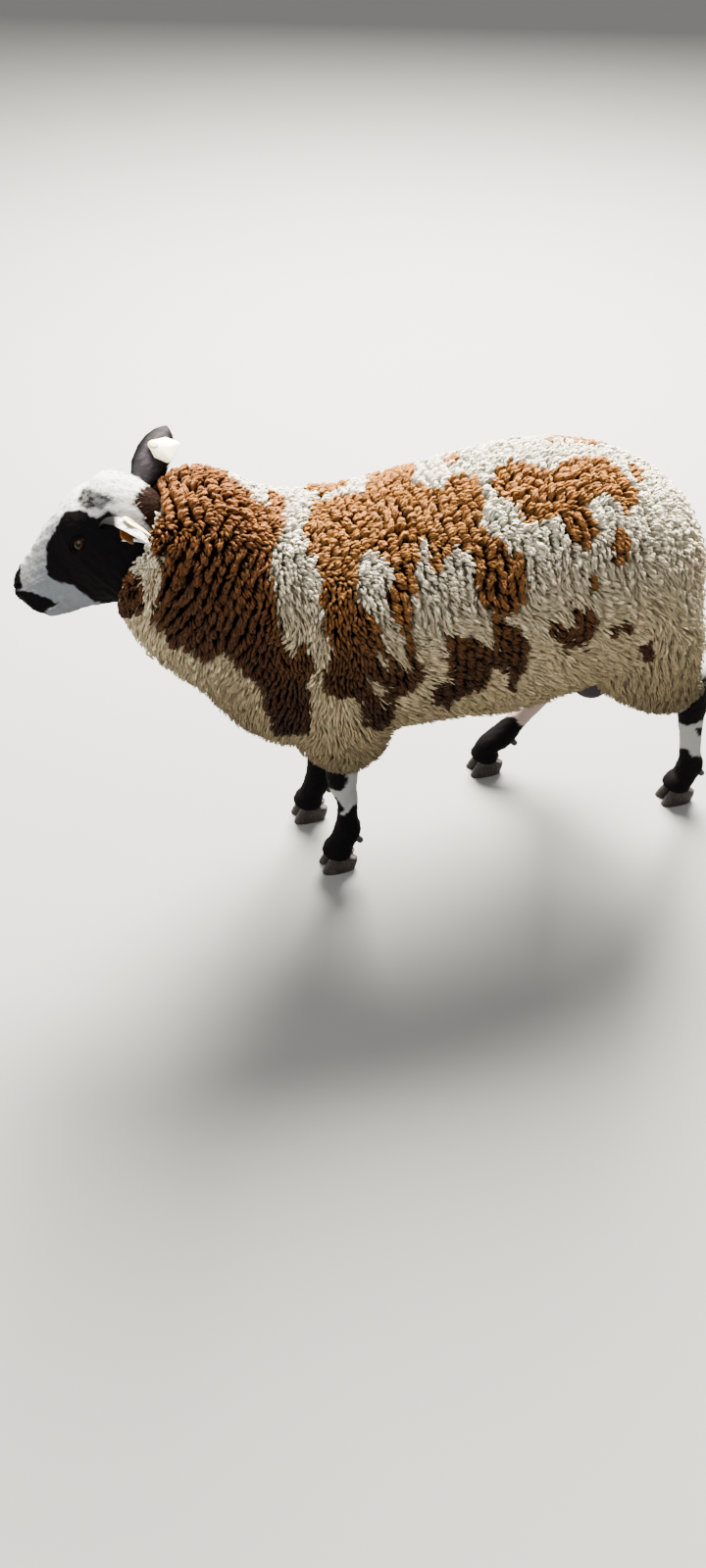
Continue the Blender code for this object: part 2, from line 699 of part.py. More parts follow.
def surface_samples(mesh, count, random):
    """Points spread evenly by area over a mesh, with the normals there."""
    mesh.calc_loop_triangles()
    points = np.empty(len(mesh.vertices) * 3, np.float32)
    mesh.vertices.foreach_get("co", points)
    triangles = np.empty(len(mesh.loop_triangles) * 3, np.int32)
    mesh.loop_triangles.foreach_get("vertices", triangles)
    corners = points.reshape(-1, 3).astype(float)[triangles.reshape(-1, 3)]
    cross = np.cross(corners[:, 1] - corners[:, 0], corners[:, 2] - corners[:, 0])
    area = np.linalg.norm(cross, axis=1)
    pick = random.choice(len(area), count, p=area / area.sum())
    a, b = random.random((2, count, 1))
    flip = a + b > 1
    a, b = np.where(flip, 1 - a, a), np.where(flip, 1 - b, b)
    chosen = corners[pick]
    return chosen[:, 0] * (1 - a - b) + chosen[:, 1] * a + chosen[:, 2] * b, unit(cross[pick])


def spread_evenly(points, size, count):
    """Picks points one by one, each as far from those before it as can be, measured in its own clump size."""
    chosen = [0]
    distance = np.full(len(points), np.inf)
    for _ in range(count - 1):
        distance = np.minimum(distance, np.linalg.norm(points - points[chosen[-1]], axis=1) / size)
        chosen.append(int(np.argmax(distance)))
    return chosen


def fleece_core():
    specs = [
        (TRUNK, 9, 14, (0.050, 0.060)),
        (NECK, 6, 12, (0.030, 0.050)),
        (TAIL, 6, 8, (0.020, 0.025)),
        (upper_foreleg_rows(*LEFT_FORE), 6, 10, (0.040, 0.016)),
        (upper_foreleg_rows(*RIGHT_FORE), 6, 10, (0.040, 0.016)),
        (thigh_rows(LEFT_HOCK, LEFT_HIND[1], 0.0), 7, 10, (0.040, 0.016)),
        (thigh_rows(RIGHT_HOCK, RIGHT_HIND[1], 0.070), 7, 10, (0.040, 0.016)),
    ]
    parts = []
    for rows, rings, sides, domes in specs:
        thin = min(row[5] for row in rows)
        grid = tube_grid(rows, rings, sides, domes, grow=-min(CORE_DEPTH, 0.50 * thin))
        parts.append(add_object("core", *closed_mesh(grid)))
    return boolean(parts[0], "UNION", parts[1:])


def fleece():
    """The core and every clump, joined into one closed surface."""
    core = fleece_core()
    random = np.random.default_rng(SEED)
    points, normals = surface_samples(core.data, 9000, random)
    size = np.where(points[:, 2] < 0.34, LEG_CLUMP_SIZE, 1.0)
    clumps = []
    for index in spread_evenly(points, size, CLUMP_COUNT):
        normal = normals[index]
        lie = np.array([0.35, 0.0, -1.0])
        lie = lie - normal * (lie @ normal)
        if np.linalg.norm(lie) < 0.15:
            lie = np.array([1.0, 0.0, 0.0]) - normal * normal[0]
        grown = size[index] * random.uniform(0.92, 1.10)
        shape = clump(points[index], normal, unit(lie), grown, random.uniform(0, math.pi))
        clumps.append(add_object("clump", *shape))
    return boolean(core, "UNION", clumps)


# Where the woolly body is parted: the XZ outline of each region and its Y range.
NECK_FRONT = [(-0.392, 1.00), (-0.392, 0.72), (-0.440, 0.60), (-0.440, 0.20)]
NECK_BACK = [(-0.330, 0.20), (-0.262, 0.44), (-0.150, 0.80), (-0.120, 1.00)]
NECK_REGION = (NECK_FRONT + NECK_BACK, -0.4, 0.4)
TAIL_FRONT = [(0.470, 0.690), (0.440, 0.610), (0.474, 0.500), (0.478, 0.300)]
TAIL_REGION = ([(0.700, 0.300), (0.700, 0.690)] + TAIL_FRONT, -0.05, 0.05)
FORE_REGION = ([(-0.330, 0.15), (0.030, 0.15), (0.030, 0.352), (-0.330, 0.352)], 0.012, 0.40)
HIND_REGION = ([(0.200, 0.15), (0.720, 0.15), (0.720, 0.400), (0.245, 0.400)], 0.012, 0.40)


def inset_outline(outline, amount):
    """The outline with each side moved inwards by the amount."""
    points = np.array(outline, float)
    after = np.roll(points, -1, axis=0)
    turn = np.sign(np.sum(points[:, 0] * after[:, 1] - after[:, 0] * points[:, 1]))
    ahead = unit(after - points)
    inward = np.stack([-ahead[:, 1], ahead[:, 0]], axis=1) * turn
    before = np.roll(inward, 1, axis=0)
    return points + (inward + before) * amount / (1 + np.sum(inward * before, axis=1, keepdims=True))


def split_off(fleece_left, name, spec, side=0):
    """Takes one region out of what is left of the fleece, and makes it a node of its own."""
    outline, low, high = spec
    if side:
        low, high = sorted((side * low, side * high))
    piece = copy_object(fleece_left, name)
    boolean(piece, "INTERSECT", [block("inside", inset_outline(outline, GAP), low + GAP, high - GAP)])
    boolean(fleece_left, "DIFFERENCE", [block("outside", outline, low, high)])
    return piece


def main():
    for obj in list(bpy.data.objects):
        bpy.data.objects.remove(obj, do_unlink=True)

    wool = material("fleece", (0.80, 0.71, 0.56), 0.95)
    brown = material("brown_fleece", (0.30, 0.16, 0.08), 0.95)
    hair = material("short_hair", (0.75, 0.73, 0.70), 0.80)
    black = material("black_hair", (0.02, 0.02, 0.02), 0.80)
    horn = material("hoof_horn", (0.06, 0.05, 0.05), 0.45)
    glass = material("eye", (0.20, 0.11, 0.03), 0.08)
    plastic = material("tag_plastic", (0.90, 0.87, 0.62), 0.40)

    body = fleece()
    pockets = [head_blank("pocket", SKIN_MARGIN)]

    # Lower legs, hooves and dewclaws
    for name, foot, rows in (
        ("foreleg_left", LEFT_FORE, foreleg_rows(LEFT_FORE)),
        ("foreleg_right", RIGHT_FORE, foreleg_rows(RIGHT_FORE)),
        ("hindleg_left", LEFT_HIND, hindleg_rows(LEFT_HIND, LEFT_HOCK)),
        ("hindleg_right", RIGHT_HIND, hindleg_rows(RIGHT_HIND, RIGHT_HOCK)),
    ):
        leg = add_object(name, *closed_mesh(tube_grid(rows, LEG_RINGS, LEG_SIDES, LEG_DOMES)))
        fetlock_x = rows[6][0]
        cutters = []
        for label, side in (("inner", -np.sign(foot[1])), ("outer", np.sign(foot[1]))):
            set_material(claw(f"{name}_claw_{label}", foot, side), horn)
            set_material(dewclaw(f"{name}_dewclaw_{label}", foot, side, fetlock_x), horn)
            cutters.append(claw("cutter", foot, side, GAP))
            cutters.append(dewclaw("cutter", foot, side, fetlock_x, GAP))
        set_material(boolean(leg, "DIFFERENCE", cutters), black)
        grown = tube_grid(rows, LEG_RINGS, LEG_SIDES, LEG_DOMES, grow=SKIN_MARGIN)
        pockets.append(add_object("pocket", *closed_mesh(grown)))

    # Scrotum and sheath
    for name, rows, rings, sides in (("scrotum", SCROTUM, 6, 10), ("sheath", SHEATH, 4, 8)):
        add_object(name, *closed_mesh(tube_grid(rows, rings, sides, (0.018, 0.022))), wool)
        grown = tube_grid(rows, rings, sides, (0.018, 0.022), grow=SKIN_MARGIN)
        pockets.append(add_object("pocket", *closed_mesh(grown)))

    # Head with its eyes, ears and tags
    head = head_blank("head")
    eyes = [(side, label, *eye_frame(side)[:2]) for side, label in ((1, "right"), (-1, "left"))]
    boolean(head, "UNION", [ball("lid", centre, EYE_RADIUS + LID_THICKNESS, out) for _, _, centre, out in eyes])
    cutters = [mouth_line("cutter")]
    for side, label, centre, outward in eyes:
        cutters += [almond("cutter", side), nostril("cutter", side)]
        cutters.append(ball("cutter", centre, EYE_RADIUS + GAP, outward))
        set_material(ball(f"eye_{label}", centre, EYE_RADIUS - GAP, outward), glass)
    set_material(boolean(head, "DIFFERENCE", cutters), hair)
    for side, label in ((1, "right"), (-1, "left")):
        at, back, along, across, facing = tag_frame(side, TAG_TURNS[side][0])
        shell = ear(f"ear_{label}", side)
        boolean(shell, "DIFFERENCE", [head_blank("cutter", SKIN_MARGIN)])
        pin_hole = disc("cutter", at, back, TAG_PIN_RADIUS + GAP, -2 * TAG_FRONT_REACH, 2 * TAG_FRONT_REACH)
        boolean(shell, "DIFFERENCE", [pin_hole])
        set_material(shell, black)
        flag = tag_plate(f"tag_{label}_back", at + back * TAG_BACK_REACH, facing, along, across)
        pin_end = -TAG_FRONT_REACH - 2 * TAG_THICKNESS
        pin = disc("pin", at, back, TAG_PIN_RADIUS, pin_end, TAG_BACK_REACH + TAG_THICKNESS / 2)
        set_material(boolean(flag, "UNION", [pin]), plastic)
        _, _, along, across, facing = tag_frame(side, TAG_TURNS[side][1], TAG_FRONT_LIFT)
        front = tag_plate(f"tag_{label}_front", at - back * (TAG_FRONT_REACH + TAG_THICKNESS), facing, along, across)
        hole = disc("cutter", at, back, TAG_PIN_RADIUS + GAP, 2 * pin_end, TAG_BACK_REACH)
        set_material(boolean(front, "DIFFERENCE", [hole]), plastic)

        pockets.append(ear_room("pocket", side))

    # The fleece gives way to what stands in it, and is then parted
    boolean(body, "DIFFERENCE", pockets)
    set_material(split_off(body, "neck", NECK_REGION), brown)
    set_material(split_off(body, "tail", TAIL_REGION), wool)
    for side, label in ((-1, "left"), (1, "right")):
        set_material(split_off(body, f"shoulder_{label}", FORE_REGION, side), wool)
        set_material(split_off(body, f"thigh_{label}", HIND_REGION, side), wool)
    body.name = "torso"
    set_material(body, wool)

    for obj in bpy.context.scene.objects:
        obj.data.transform(Matrix.Translation(CENTRE_SHIFT))


if __name__ == "__main__":
    main()
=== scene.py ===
# A life-size Dutch Spotted ram: one skin, a fleece of curls and wisps, short hair, eyes, hooves and ear tags.
# Everything is in metres in the animal's own frame: it faces -X, its left side is at -Y, its soles at Z = 0.

import math

import bpy
import numpy as np
from mathutils import Matrix


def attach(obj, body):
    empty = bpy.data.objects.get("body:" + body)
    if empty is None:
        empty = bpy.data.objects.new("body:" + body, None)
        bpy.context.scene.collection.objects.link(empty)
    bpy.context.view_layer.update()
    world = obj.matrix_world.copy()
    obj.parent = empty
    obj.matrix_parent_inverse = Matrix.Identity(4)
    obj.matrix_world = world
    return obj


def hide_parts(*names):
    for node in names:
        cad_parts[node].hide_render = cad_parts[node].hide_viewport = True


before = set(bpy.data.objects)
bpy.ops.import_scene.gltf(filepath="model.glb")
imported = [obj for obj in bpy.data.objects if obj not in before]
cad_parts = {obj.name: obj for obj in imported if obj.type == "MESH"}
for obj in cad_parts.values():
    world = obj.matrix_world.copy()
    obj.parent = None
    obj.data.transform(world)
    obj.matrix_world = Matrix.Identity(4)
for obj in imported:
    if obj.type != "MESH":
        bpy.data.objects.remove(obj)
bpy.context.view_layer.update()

centreShift = np.array([-0.0115, -0.0083, 0.0])  # the model's middle stands over the origin
print("frame loaded:", len(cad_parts), "nodes")


# The camera, and where a point falls in the 720 x 1600 picture

photoCamera = {
    "place": np.array([-0.4795, -1.4883, 1.66]),
    "turn": 15.0,  # degrees from +Y towards +X
    "down": 45.0,  # degrees below level
    "focal": 1209.0,  # in pixels
    "width": 720.0,
    "height": 1600.0,
}


# Right, down and forward of the picture, from the camera's two angles.
def cameraAxes():
    turn, down = math.radians(photoCamera["turn"]), math.radians(photoCamera["down"])
    ahead = np.array([math.sin(turn), math.cos(turn), 0.0])
    right = np.array([math.cos(turn), -math.sin(turn), 0.0])
    level = np.array([0.0, 0.0, 1.0])
    below = -level * math.cos(down) - ahead * math.sin(down)
    return right, below, ahead * math.cos(down) - level * math.sin(down)


# Pixel = middle of the picture + focal length * sideways offset / distance ahead.
def toPicture(points):
    right, below, forward = cameraAxes()
    offset = points + centreShift - photoCamera["place"]
    depth = offset @ forward
    across = photoCamera["width"] / 2 + photoCamera["focal"] * (offset @ right) / depth
    return np.stack([across, photoCamera["height"] / 2 + photoCamera["focal"] * (offset @ below) / depth], -1)


# The matrix of a camera or light from its own right, up and backward directions and its place.
def standing(right, up, backward, place):
    rows = np.stack([right, up, backward, place], axis=1)
    return Matrix([*rows.tolist(), (0.0, 0.0, 0.0, 1.0)])


def makeCamera():
    right, below, forward = cameraAxes()
    camera = bpy.data.objects.new("camera", bpy.data.cameras.new("camera"))
    bpy.context.scene.collection.objects.link(camera)
    camera.data.sensor_width = 36.0
    camera.data.lens = 36.0 * photoCamera["focal"] / photoCamera["height"]
    camera.matrix_world = standing(right, -below, -forward, photoCamera["place"])
    bpy.context.scene.camera = camera


makeCamera()


# Small helpers for arrays


def unit(vectors):
    return vectors / np.maximum(np.linalg.norm(vectors, axis=-1, keepdims=True), 1e-12)


# 0 below low, 1 above high, and a smooth S between.
def smoothStep(low, high, value):
    t = np.clip((value - low) / (high - low), 0, 1)
    return t * t * (3 - 2 * t)


# A soft noise of about -1 to 1: the sum of sine waves that run in seeded directions at about the given size.
def waveNoise(points, size, seed):
    random = np.random.default_rng(seed)
    count, loudest = 14, 4.2
    waves = unit(random.normal(size=(count, 3))) * (2 * math.pi / size) * random.uniform(0.6, 1.5, (count, 1))
    return np.sin(points @ waves.T + random.uniform(0, 2 * math.pi, count)).sum(-1) / loudest


# Two of these noises, as a shift across and a shift down the picture.
def shiftNoise(points, size, seed):
    return np.stack([waveNoise(points, size, seed), waveNoise(points, size, seed + 1)], -1)


# The first value where the share is 0 and the second where it is 1.
def mix(first, second, share):
    return first * (1 - share) + second * share


# Even angles round a circle.
def fullTurn(sides):
    return np.arange(sides) * 2 * math.pi / sides


# What is left of each direction when its part along the normal is taken away, one long.
def inSurface(directions, normals):
    return unit(directions - normals * (directions * normals).sum(-1, keepdims=True))


# Shapes: arrays of vertices with quads and triangles, joined and turned outwards before they become a mesh


# Rings of points into one closed surface. Where the ends are pointed the first and last ring are one point
# each, and otherwise they are closed by a fan.
def tubeShape(grid, pointed=True):
    body = grid[1:-1] if pointed else grid
    rings, sides = body.shape[:2]
    vertices = np.concatenate([body.reshape(-1, 3), grid[0].mean(0)[None], grid[-1].mean(0)[None]])
    ring = np.arange(sides)
    after = (ring + 1) % sides
    low, high = rings * sides, rings * sides + 1
    first = np.stack([np.full(sides, low), after, ring], -1)
    last = np.stack([np.full(sides, high), (rings - 1) * sides + ring, (rings - 1) * sides + after], -1)
    triangles = np.concatenate([first, last])
    return turnedOut({"vertices": vertices, "quads": ringQuads(rings, sides), "triangles": triangles})


# The quads between each ring and the next one, where a ring's points follow each other.
def ringQuads(rings, sides):
    ring = np.arange(sides)
    after = (ring + 1) % sides
    start = (np.arange(rings - 1) * sides)[:, None]
    corners = [start + ring, start + after, start + sides + after, start + sides + ring]
    return np.stack(corners, -1).reshape(-1, 4)


# A shape's faces as triangles: each quad cut in two.
def asTriangles(shape):
    quads = shape["quads"]
    return np.concatenate([quads[:, [0, 1, 2]], quads[:, [0, 2, 3]], shape["triangles"]])


# A closed surface whose signed volume is below zero has its faces turned over.
def turnedOut(shape):
    v, corners = shape["vertices"], asTriangles(shape)
    volume = np.einsum("ij,ij->i", v[corners[:, 0]], np.cross(v[corners[:, 1]], v[corners[:, 2]])).sum()
    if volume < 0:
        shape["quads"], shape["triangles"] = shape["quads"][:, ::-1], shape["triangles"][:, ::-1]
    return shape


# Several shapes as one, with each one's faces counted on from the vertices before it.
def joinShapes(shapes):
    joined = {key: [] for key in shapes[0]}
    count = 0
    for shape in shapes:
        for key, values in shape.items():
            joined[key].append(values + count if key in ("quads", "triangles") else values)
        count += len(shape["vertices"])
    return {key: np.concatenate(values) for key, values in joined.items()}


# A mesh object from a shape. Extra arrays of three numbers become colours, single numbers become values, and
# arrays whose name starts with uv become maps, read at each corner's vertex.
def makePiece(name, shape, material, replaced=()):
    vertices = (shape["vertices"] + centreShift).astype(np.float32)
    quads, triangles = shape["quads"], shape["triangles"]
    bases = shape.get("bases", np.zeros((0, 3), int))
    corners = np.concatenate([quads.ravel(), triangles.ravel(), bases.ravel()]).astype(np.int32)
    sizes = np.concatenate([np.full(*faces.shape) for faces in (quads, triangles, bases)])
    mesh = bpy.data.meshes.new(name)
    mesh.vertices.add(len(vertices))
    mesh.loops.add(len(corners))
    mesh.polygons.add(len(sizes))
    mesh.vertices.foreach_set("co", vertices.ravel())
    mesh.loops.foreach_set("vertex_index", corners)
    mesh.polygons.foreach_set("loop_start", np.concatenate([[0], np.cumsum(sizes)[:-1]]).astype(np.int32))
    mesh.polygons.foreach_set("use_smooth", np.ones(len(sizes), bool))
    for key, values in shape.items():
        if key in ("vertices", "quads", "triangles", "bases"):
            continue
        if key.startswith("uv"):
            layer = mesh.uv_layers.new(name=key[3:])
            layer.data.foreach_set("uv", values[corners].astype(np.float32).ravel())
        elif values.ndim == 2:
            layer = mesh.attributes.new(key, "FLOAT_COLOR", "POINT")
            layer.data.foreach_set("color", np.insert(values, 3, 1.0, axis=1).astype(np.float32).ravel())
        else:
            mesh.attributes.new(key, "FLOAT", "POINT").data.foreach_set("value", values.astype(np.float32))
    mesh.update(calc_edges=True)
    mesh.materials.append(material)
    piece = bpy.data.objects.new(name, mesh)
    bpy.context.scene.collection.objects.link(piece)
    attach(piece, "root")
    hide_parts(*replaced)


# Shader maths as expressions


# Wraps a socket: the operators on it add Math nodes, and the other methods add the node that they name.
class Wire:
    def __init__(self, tree, socket=None):
        self.tree = tree
        self.socket = socket

    # A node of the given type: settings first, then its inputs by number or name, as values or other wires.
    def add(self, kind, settings, inputs, output=0):
        node = self.tree.nodes.new(kind)
        for name, value in settings.items():
            setattr(node, name, value)
        for key, value in inputs.items():
            if isinstance(value, Wire):
                self.tree.links.new(value.socket, node.inputs[key])
            else:
                node.inputs[key].default_value = value
        return Wire(self.tree, node.outputs[output])

    def maths(self, operation, first, second):
        return self.add("ShaderNodeMath", {"operation": operation}, {0: first, 1: second})

    def __add__(self, other):
        return self.maths("ADD", self, other)

    def __rsub__(self, other):
        return self.maths("SUBTRACT", other, self)

    def __mul__(self, other):
        return self.maths("MULTIPLY", self, other)

    def __pow__(self, other):
        return self.maths("POWER", self, other)

    __radd__ = __add__
    __rmul__ = __mul__

    # 0 to 1 as the value goes from low to high.
    def rising(self, low, high):
        inputs = {"Value": self, "From Min": low, "From Max": high}
        return self.add("ShaderNodeMapRange", {"interpolation_type": "SMOOTHSTEP"}, inputs)

    # The first colour where this value is 0 and the second where it is 1.
    def between(self, first, second):
        return self.add("ShaderNodeMix", {"data_type": "RGBA"}, {0: self, 6: first, 7: second}, 2)

    # The colour times a number.
    def scaled(self, factor):
        return self.add("ShaderNodeVectorMath", {"operation": "SCALE"}, {0: self, "Scale": factor})

    def stretched(self, amounts):
        return self.add("ShaderNodeVectorMath", {"operation": "MULTIPLY"}, {0: self, 1: amounts})

    def noise(self, scale, detail=3.0, roughness=0.55):
        inputs = {"Vector": self, "Scale": scale, "Detail": detail, "Roughness": roughness}
        return self.add("ShaderNodeTexNoise", {}, inputs)

    def objectPlace(self):
        return self.add("ShaderNodeTexCoord", {}, {}, "Object")

    def attribute(self, name, output="Fac"):
        return self.add("ShaderNodeAttribute", {"attribute_name": name}, {}, output)


# A material with one shader: the constants on its own sockets, and a function that wires up what varies.
def makeMaterial(name, constants, wiring):
    material = bpy.data.materials.new(name)
    material.use_nodes = True
    tree = material.node_tree
    shader = tree.nodes["Principled BSDF"]
    for key, value in constants.items():
        shader.inputs[key].default_value = value
    for key, wire in wiring(Wire(tree)).items():
        tree.links.new(wire.socket, shader.inputs[key])
    return material


def bumpOf(height, strength, distance):
    return height.add("ShaderNodeBump", {}, {"Strength": strength, "Distance": distance, "Height": height})


# The wool: each lock's own colour with painted shade towards the root, fine fibres along it and crimp across
# it.
def woolWiring(start):
    fibre = start.add("ShaderNodeUVMap", {"uv_map": "fibre"}, {})
    strands = fibre.stretched((24.0, 2.2, 1.0)).noise(1.0, 4.0).rising(0.30, 0.70)
    crimp = fibre.stretched((3.0, 16.0, 1.0)).noise(1.0, 2.0).rising(0.25, 0.75)
    tip = start.attribute("tip")
    shade = 0.40 + 0.62 * tip.rising(0.15, 0.80)
    colour = start.attribute("coatColour", "Color").scaled(shade * (0.78 + 0.24 * strands + 0.10 * crimp))
    return {"Base Color": colour, "Normal": bumpOf(strands + 0.7 * crimp, 1.0, 0.0018)}


# Short hair that lies flat: the painted colour with hair-like streaks along the body, which are bump too.
def hairWiring(start):
    place = start.objectPlace()
    hair = place.stretched((0.5, 1.2, 1.0)).noise(900.0, 4.0, 0.65)
    patch = place.noise(60.0, 3.0)
    colour = start.attribute("coatColour", "Color").scaled(0.66 + 0.42 * hair + 0.24 * patch)
    return {"Base Color": colour, "Normal": bumpOf(hair, 0.35, 0.0012), "Roughness": 0.62 + 0.30 * hair}


# Horn: dark, with pale streaks down the wall and growth lines round it.
def hornWiring(start):
    place = start.objectPlace()
    streaks = place.stretched((1.0, 1.0, 0.10)).noise(420.0, 4.0)
    rings = place.stretched((0.15, 0.15, 1.0)).noise(520.0, 3.0)
    grime = place.noise(90.0, 3.0)
    dark, pale, mud = (0.010, 0.0085, 0.0075, 1.0), (0.055, 0.043, 0.032, 1.0), (0.045, 0.036, 0.026, 1.0)
    colour = (streaks.rising(0.45, 0.85) * 0.8).between(dark, pale)
    colour = (grime.rising(0.55, 0.9) * 0.6).between(colour, mud)
    normal = bumpOf(rings + 0.5 * streaks, 0.4, 0.0008)
    return {"Base Color": colour, "Normal": normal, "Roughness": 0.35 + 0.4 * grime}


# The eye, by its own two coordinates in iris radii: a level slot for the pupil, dark amber iris, dark rim.
def eyeWiring(start):
    along, up = start.attribute("eyeAlong"), start.attribute("eyeUp")
    out = (along * along + up * up) ** 0.5
    place = start.objectPlace()
    flecks = place.noise(1400.0, 3.0)
    slot = ((along * 1.55) ** 4.0 + (up * 3.1) ** 4.0) ** 0.25
    colour = flecks.rising(0.42, 0.70).between((0.030, 0.011, 0.004, 1.0), (0.012, 0.005, 0.002, 1.0))
    colour = out.rising(0.70, 0.92).between(colour, (0.006, 0.004, 0.003, 1.0))
    colour = out.rising(1.02, 1.25).between(colour, (0.020, 0.008, 0.005, 1.0))
    colour = (1 - slot.rising(0.92, 1.06)).between(colour, (0.002, 0.002, 0.003, 1.0))
    return {"Base Color": colour}


# Tag plastic: a pale, slightly faded colour with dirt in patches and fine scratches.
def tagWiring(start):
    place = start.objectPlace()
    dirt = place.noise(130.0, 4.0)
    scratch = place.stretched((1.0, 0.2, 1.0)).noise(1500.0, 2.0)
    colour = start.attribute("coatColour", "Color").scaled(1 - 0.40 * dirt.rising(0.56, 0.86))
    return {"Base Color": colour, "Normal": bumpOf(scratch, 0.12, 0.0004), "Roughness": 0.30 + 0.25 * dirt}


dullWool = {"Roughness": 0.92, "Sheen Weight": 0.03, "Specular IOR Level": 0.06}
wetEye = {"Roughness": 0.22, "Specular IOR Level": 0.05, "Coat Weight": 0.05, "Coat Roughness": 0.03}
woolMaterial = makeMaterial("fleece_wool", dullWool, woolWiring)
hairMaterial = makeMaterial("short_hair_coat", {"Specular IOR Level": 0.01}, hairWiring)
hornMaterial = makeMaterial("hoof_horn_wall", {"Specular IOR Level": 0.15}, hornWiring)
eyeMaterial = makeMaterial("eye_ball", wetEye, eyeWiring)
tagMaterial = makeMaterial("ear_tag_plastic", {}, tagWiring)
print("materials made")


# Shapes carried along a path, with the same rows as the solids


# Hermite curve through rows at distances along their first three values.
def smoothRows(rows, distance):
    rows = np.array(rows, float)
    at = np.concatenate([[0], np.cumsum(np.linalg.norm(np.diff(rows[:, :3], axis=0), axis=1))])
    slope = np.gradient(rows, at, axis=0)
    want = np.clip(distance, 0, at[-1])
    i = np.clip(np.searchsorted(at, want, side="right") - 1, 0, len(at) - 2)
    step = (at[i + 1] - at[i])[:, None]
    t = (want - at[i])[:, None] / step
    left = (2 * t**3 - 3 * t**2 + 1) * rows[i] + (t**3 - 2 * t**2 + t) * step * slope[i]
    right = (3 * t**2 - 2 * t**3) * rows[i + 1] + (t**3 - t**2) * step * slope[i + 1]
    return left + right


def pathLength(rows):
    return np.linalg.norm(np.diff(np.array(rows, float)[:, :3], axis=0), axis=1).sum()


# Distances along a path: closer together over the two rounded ends, by 1 - cosine of an even angle.
def domeDistances(length, rings, start, end, steps):
    quarter = 1 - np.cos(np.linspace(0, math.pi / 2, steps))
    middle = np.linspace(start, length - end, rings)[1:-1]
    return np.concatenate([start * quarter, middle, length - end * quarter[::-1]])


def domeScale(along, length, start, end):
    near = np.clip(np.minimum(along / start, (length - along) / end), 0, 1)
    return np.sqrt(np.clip(1 - (1 - near) ** 2, 0, 1))


# Cosine and sine with their size raised to 2 / power, which squares a circle off a little.
def oval(angle, power):
    c, s = np.cos(angle), np.sin(angle)
    return np.abs(c) ** (2 / power) * np.sign(c), np.abs(s) ** (2 / power) * np.sign(s)


# Rings round a path. A row holds x, y, z, half width along Y, and the reach to each side in the XZ plane.
def tubeGrid(rows, rings, sides, domes, power=2.15, grow=0.0, steps=5):
    start, end = domes
    length = pathLength(rows)
    along = domeDistances(length, rings, start, end, steps)
    values = smoothRows(rows, along)
    centre, half, above, below = values[:, :3], values[:, 3], values[:, 4], values[:, 5]
    dome = domeScale(along, length, start, end)
    tangent = unit(np.gradient(centre, along, axis=0))
    across = inSurface(np.array([0.0, 1.0, 0.0]), tangent)
    normal = np.cross(tangent, across)
    fan, rise = oval(fullTurn(sides), power)
    wide = (half[:, None] + grow) * fan * dome[:, None]
    high = (np.where(rise > 0, above[:, None], below[:, None]) + grow) * rise * dome[:, None]
    return centre[:, None] + across[:, None] * wide[..., None] + normal[:, None] * high[..., None]


# The woolly body's rows, measured over the fleece

trunkRows = [
    (-0.306, 0, 0.420, 0.080, 0.100, 0.090),
    (-0.235, 0, 0.450, 0.148, 0.190, 0.165),
    (-0.145, 0, 0.490, 0.186, 0.225, 0.190),
    (-0.040, 0, 0.505, 0.200, 0.213, 0.180),
    (0.060, 0, 0.508, 0.205, 0.226, 0.182),
    (0.160, 0, 0.508, 0.208, 0.239, 0.188),
    (0.250, 0, 0.512, 0.204, 0.240, 0.174),
    (0.330, 0, 0.513, 0.195, 0.220, 0.160),
    (0.395, 0, 0.510, 0.176, 0.187, 0.155),
    (0.445, 0, 0.503, 0.145, 0.140, 0.145),
    (0.478, 0, 0.495, 0.110, 0.100, 0.125),
    (0.500, 0, 0.485, 0.075, 0.070, 0.095),
]
neckRows = [
    (-0.368, 0.004, 0.742, 0.086, 0.086, 0.100),
    (-0.335, 0.003, 0.698, 0.115, 0.120, 0.142),
    (-0.282, 0.002, 0.635, 0.138, 0.142, 0.170),
    (-0.214, 0, 0.582, 0.157, 0.160, 0.190),
    (-0.130, 0, 0.545, 0.165, 0.165, 0.180),
    (-0.050, 0, 0.525, 0.150, 0.150, 0.150),
]
tailRows = [
    (0.395, 0, 0.590, 0.032, 0.032, 0.032),
    (0.430, 0, 0.550, 0.038, 0.032, 0.032),
    (0.464, 0, 0.500, 0.043, 0.032, 0.032),
    (0.484, 0, 0.440, 0.042, 0.030, 0.030),
    (0.492, 0, 0.360, 0.033, 0.025, 0.025),
]
scrotumRows = [
    (0.375, 0, 0.400, 0.030, 0.026, 0.026),
    (0.372, 0, 0.350, 0.036, 0.030, 0.030),
    (0.368, 0, 0.300, 0.046, 0.036, 0.036),
    (0.366, 0, 0.255, 0.040, 0.032, 0.032),
]
sheathRows = [
    (0.215, 0, 0.345, 0.022, 0.020, 0.020),
    (0.175, 0, 0.325, 0.022, 0.020, 0.020),
    (0.145, 0, 0.305, 0.016, 0.015, 0.015),
]
feet = {
    "foreleg_left": {"foot": (-0.102, -0.072)},
    "foreleg_right": {"foot": (-0.124, 0.066)},
    "hindleg_left": {"foot": (0.576, -0.074), "hock": (0.542, 0.255), "forward": 0.0},
    "hindleg_right": {"foot": (0.244, 0.098), "hock": (0.392, 0.250), "forward": 0.070},
}


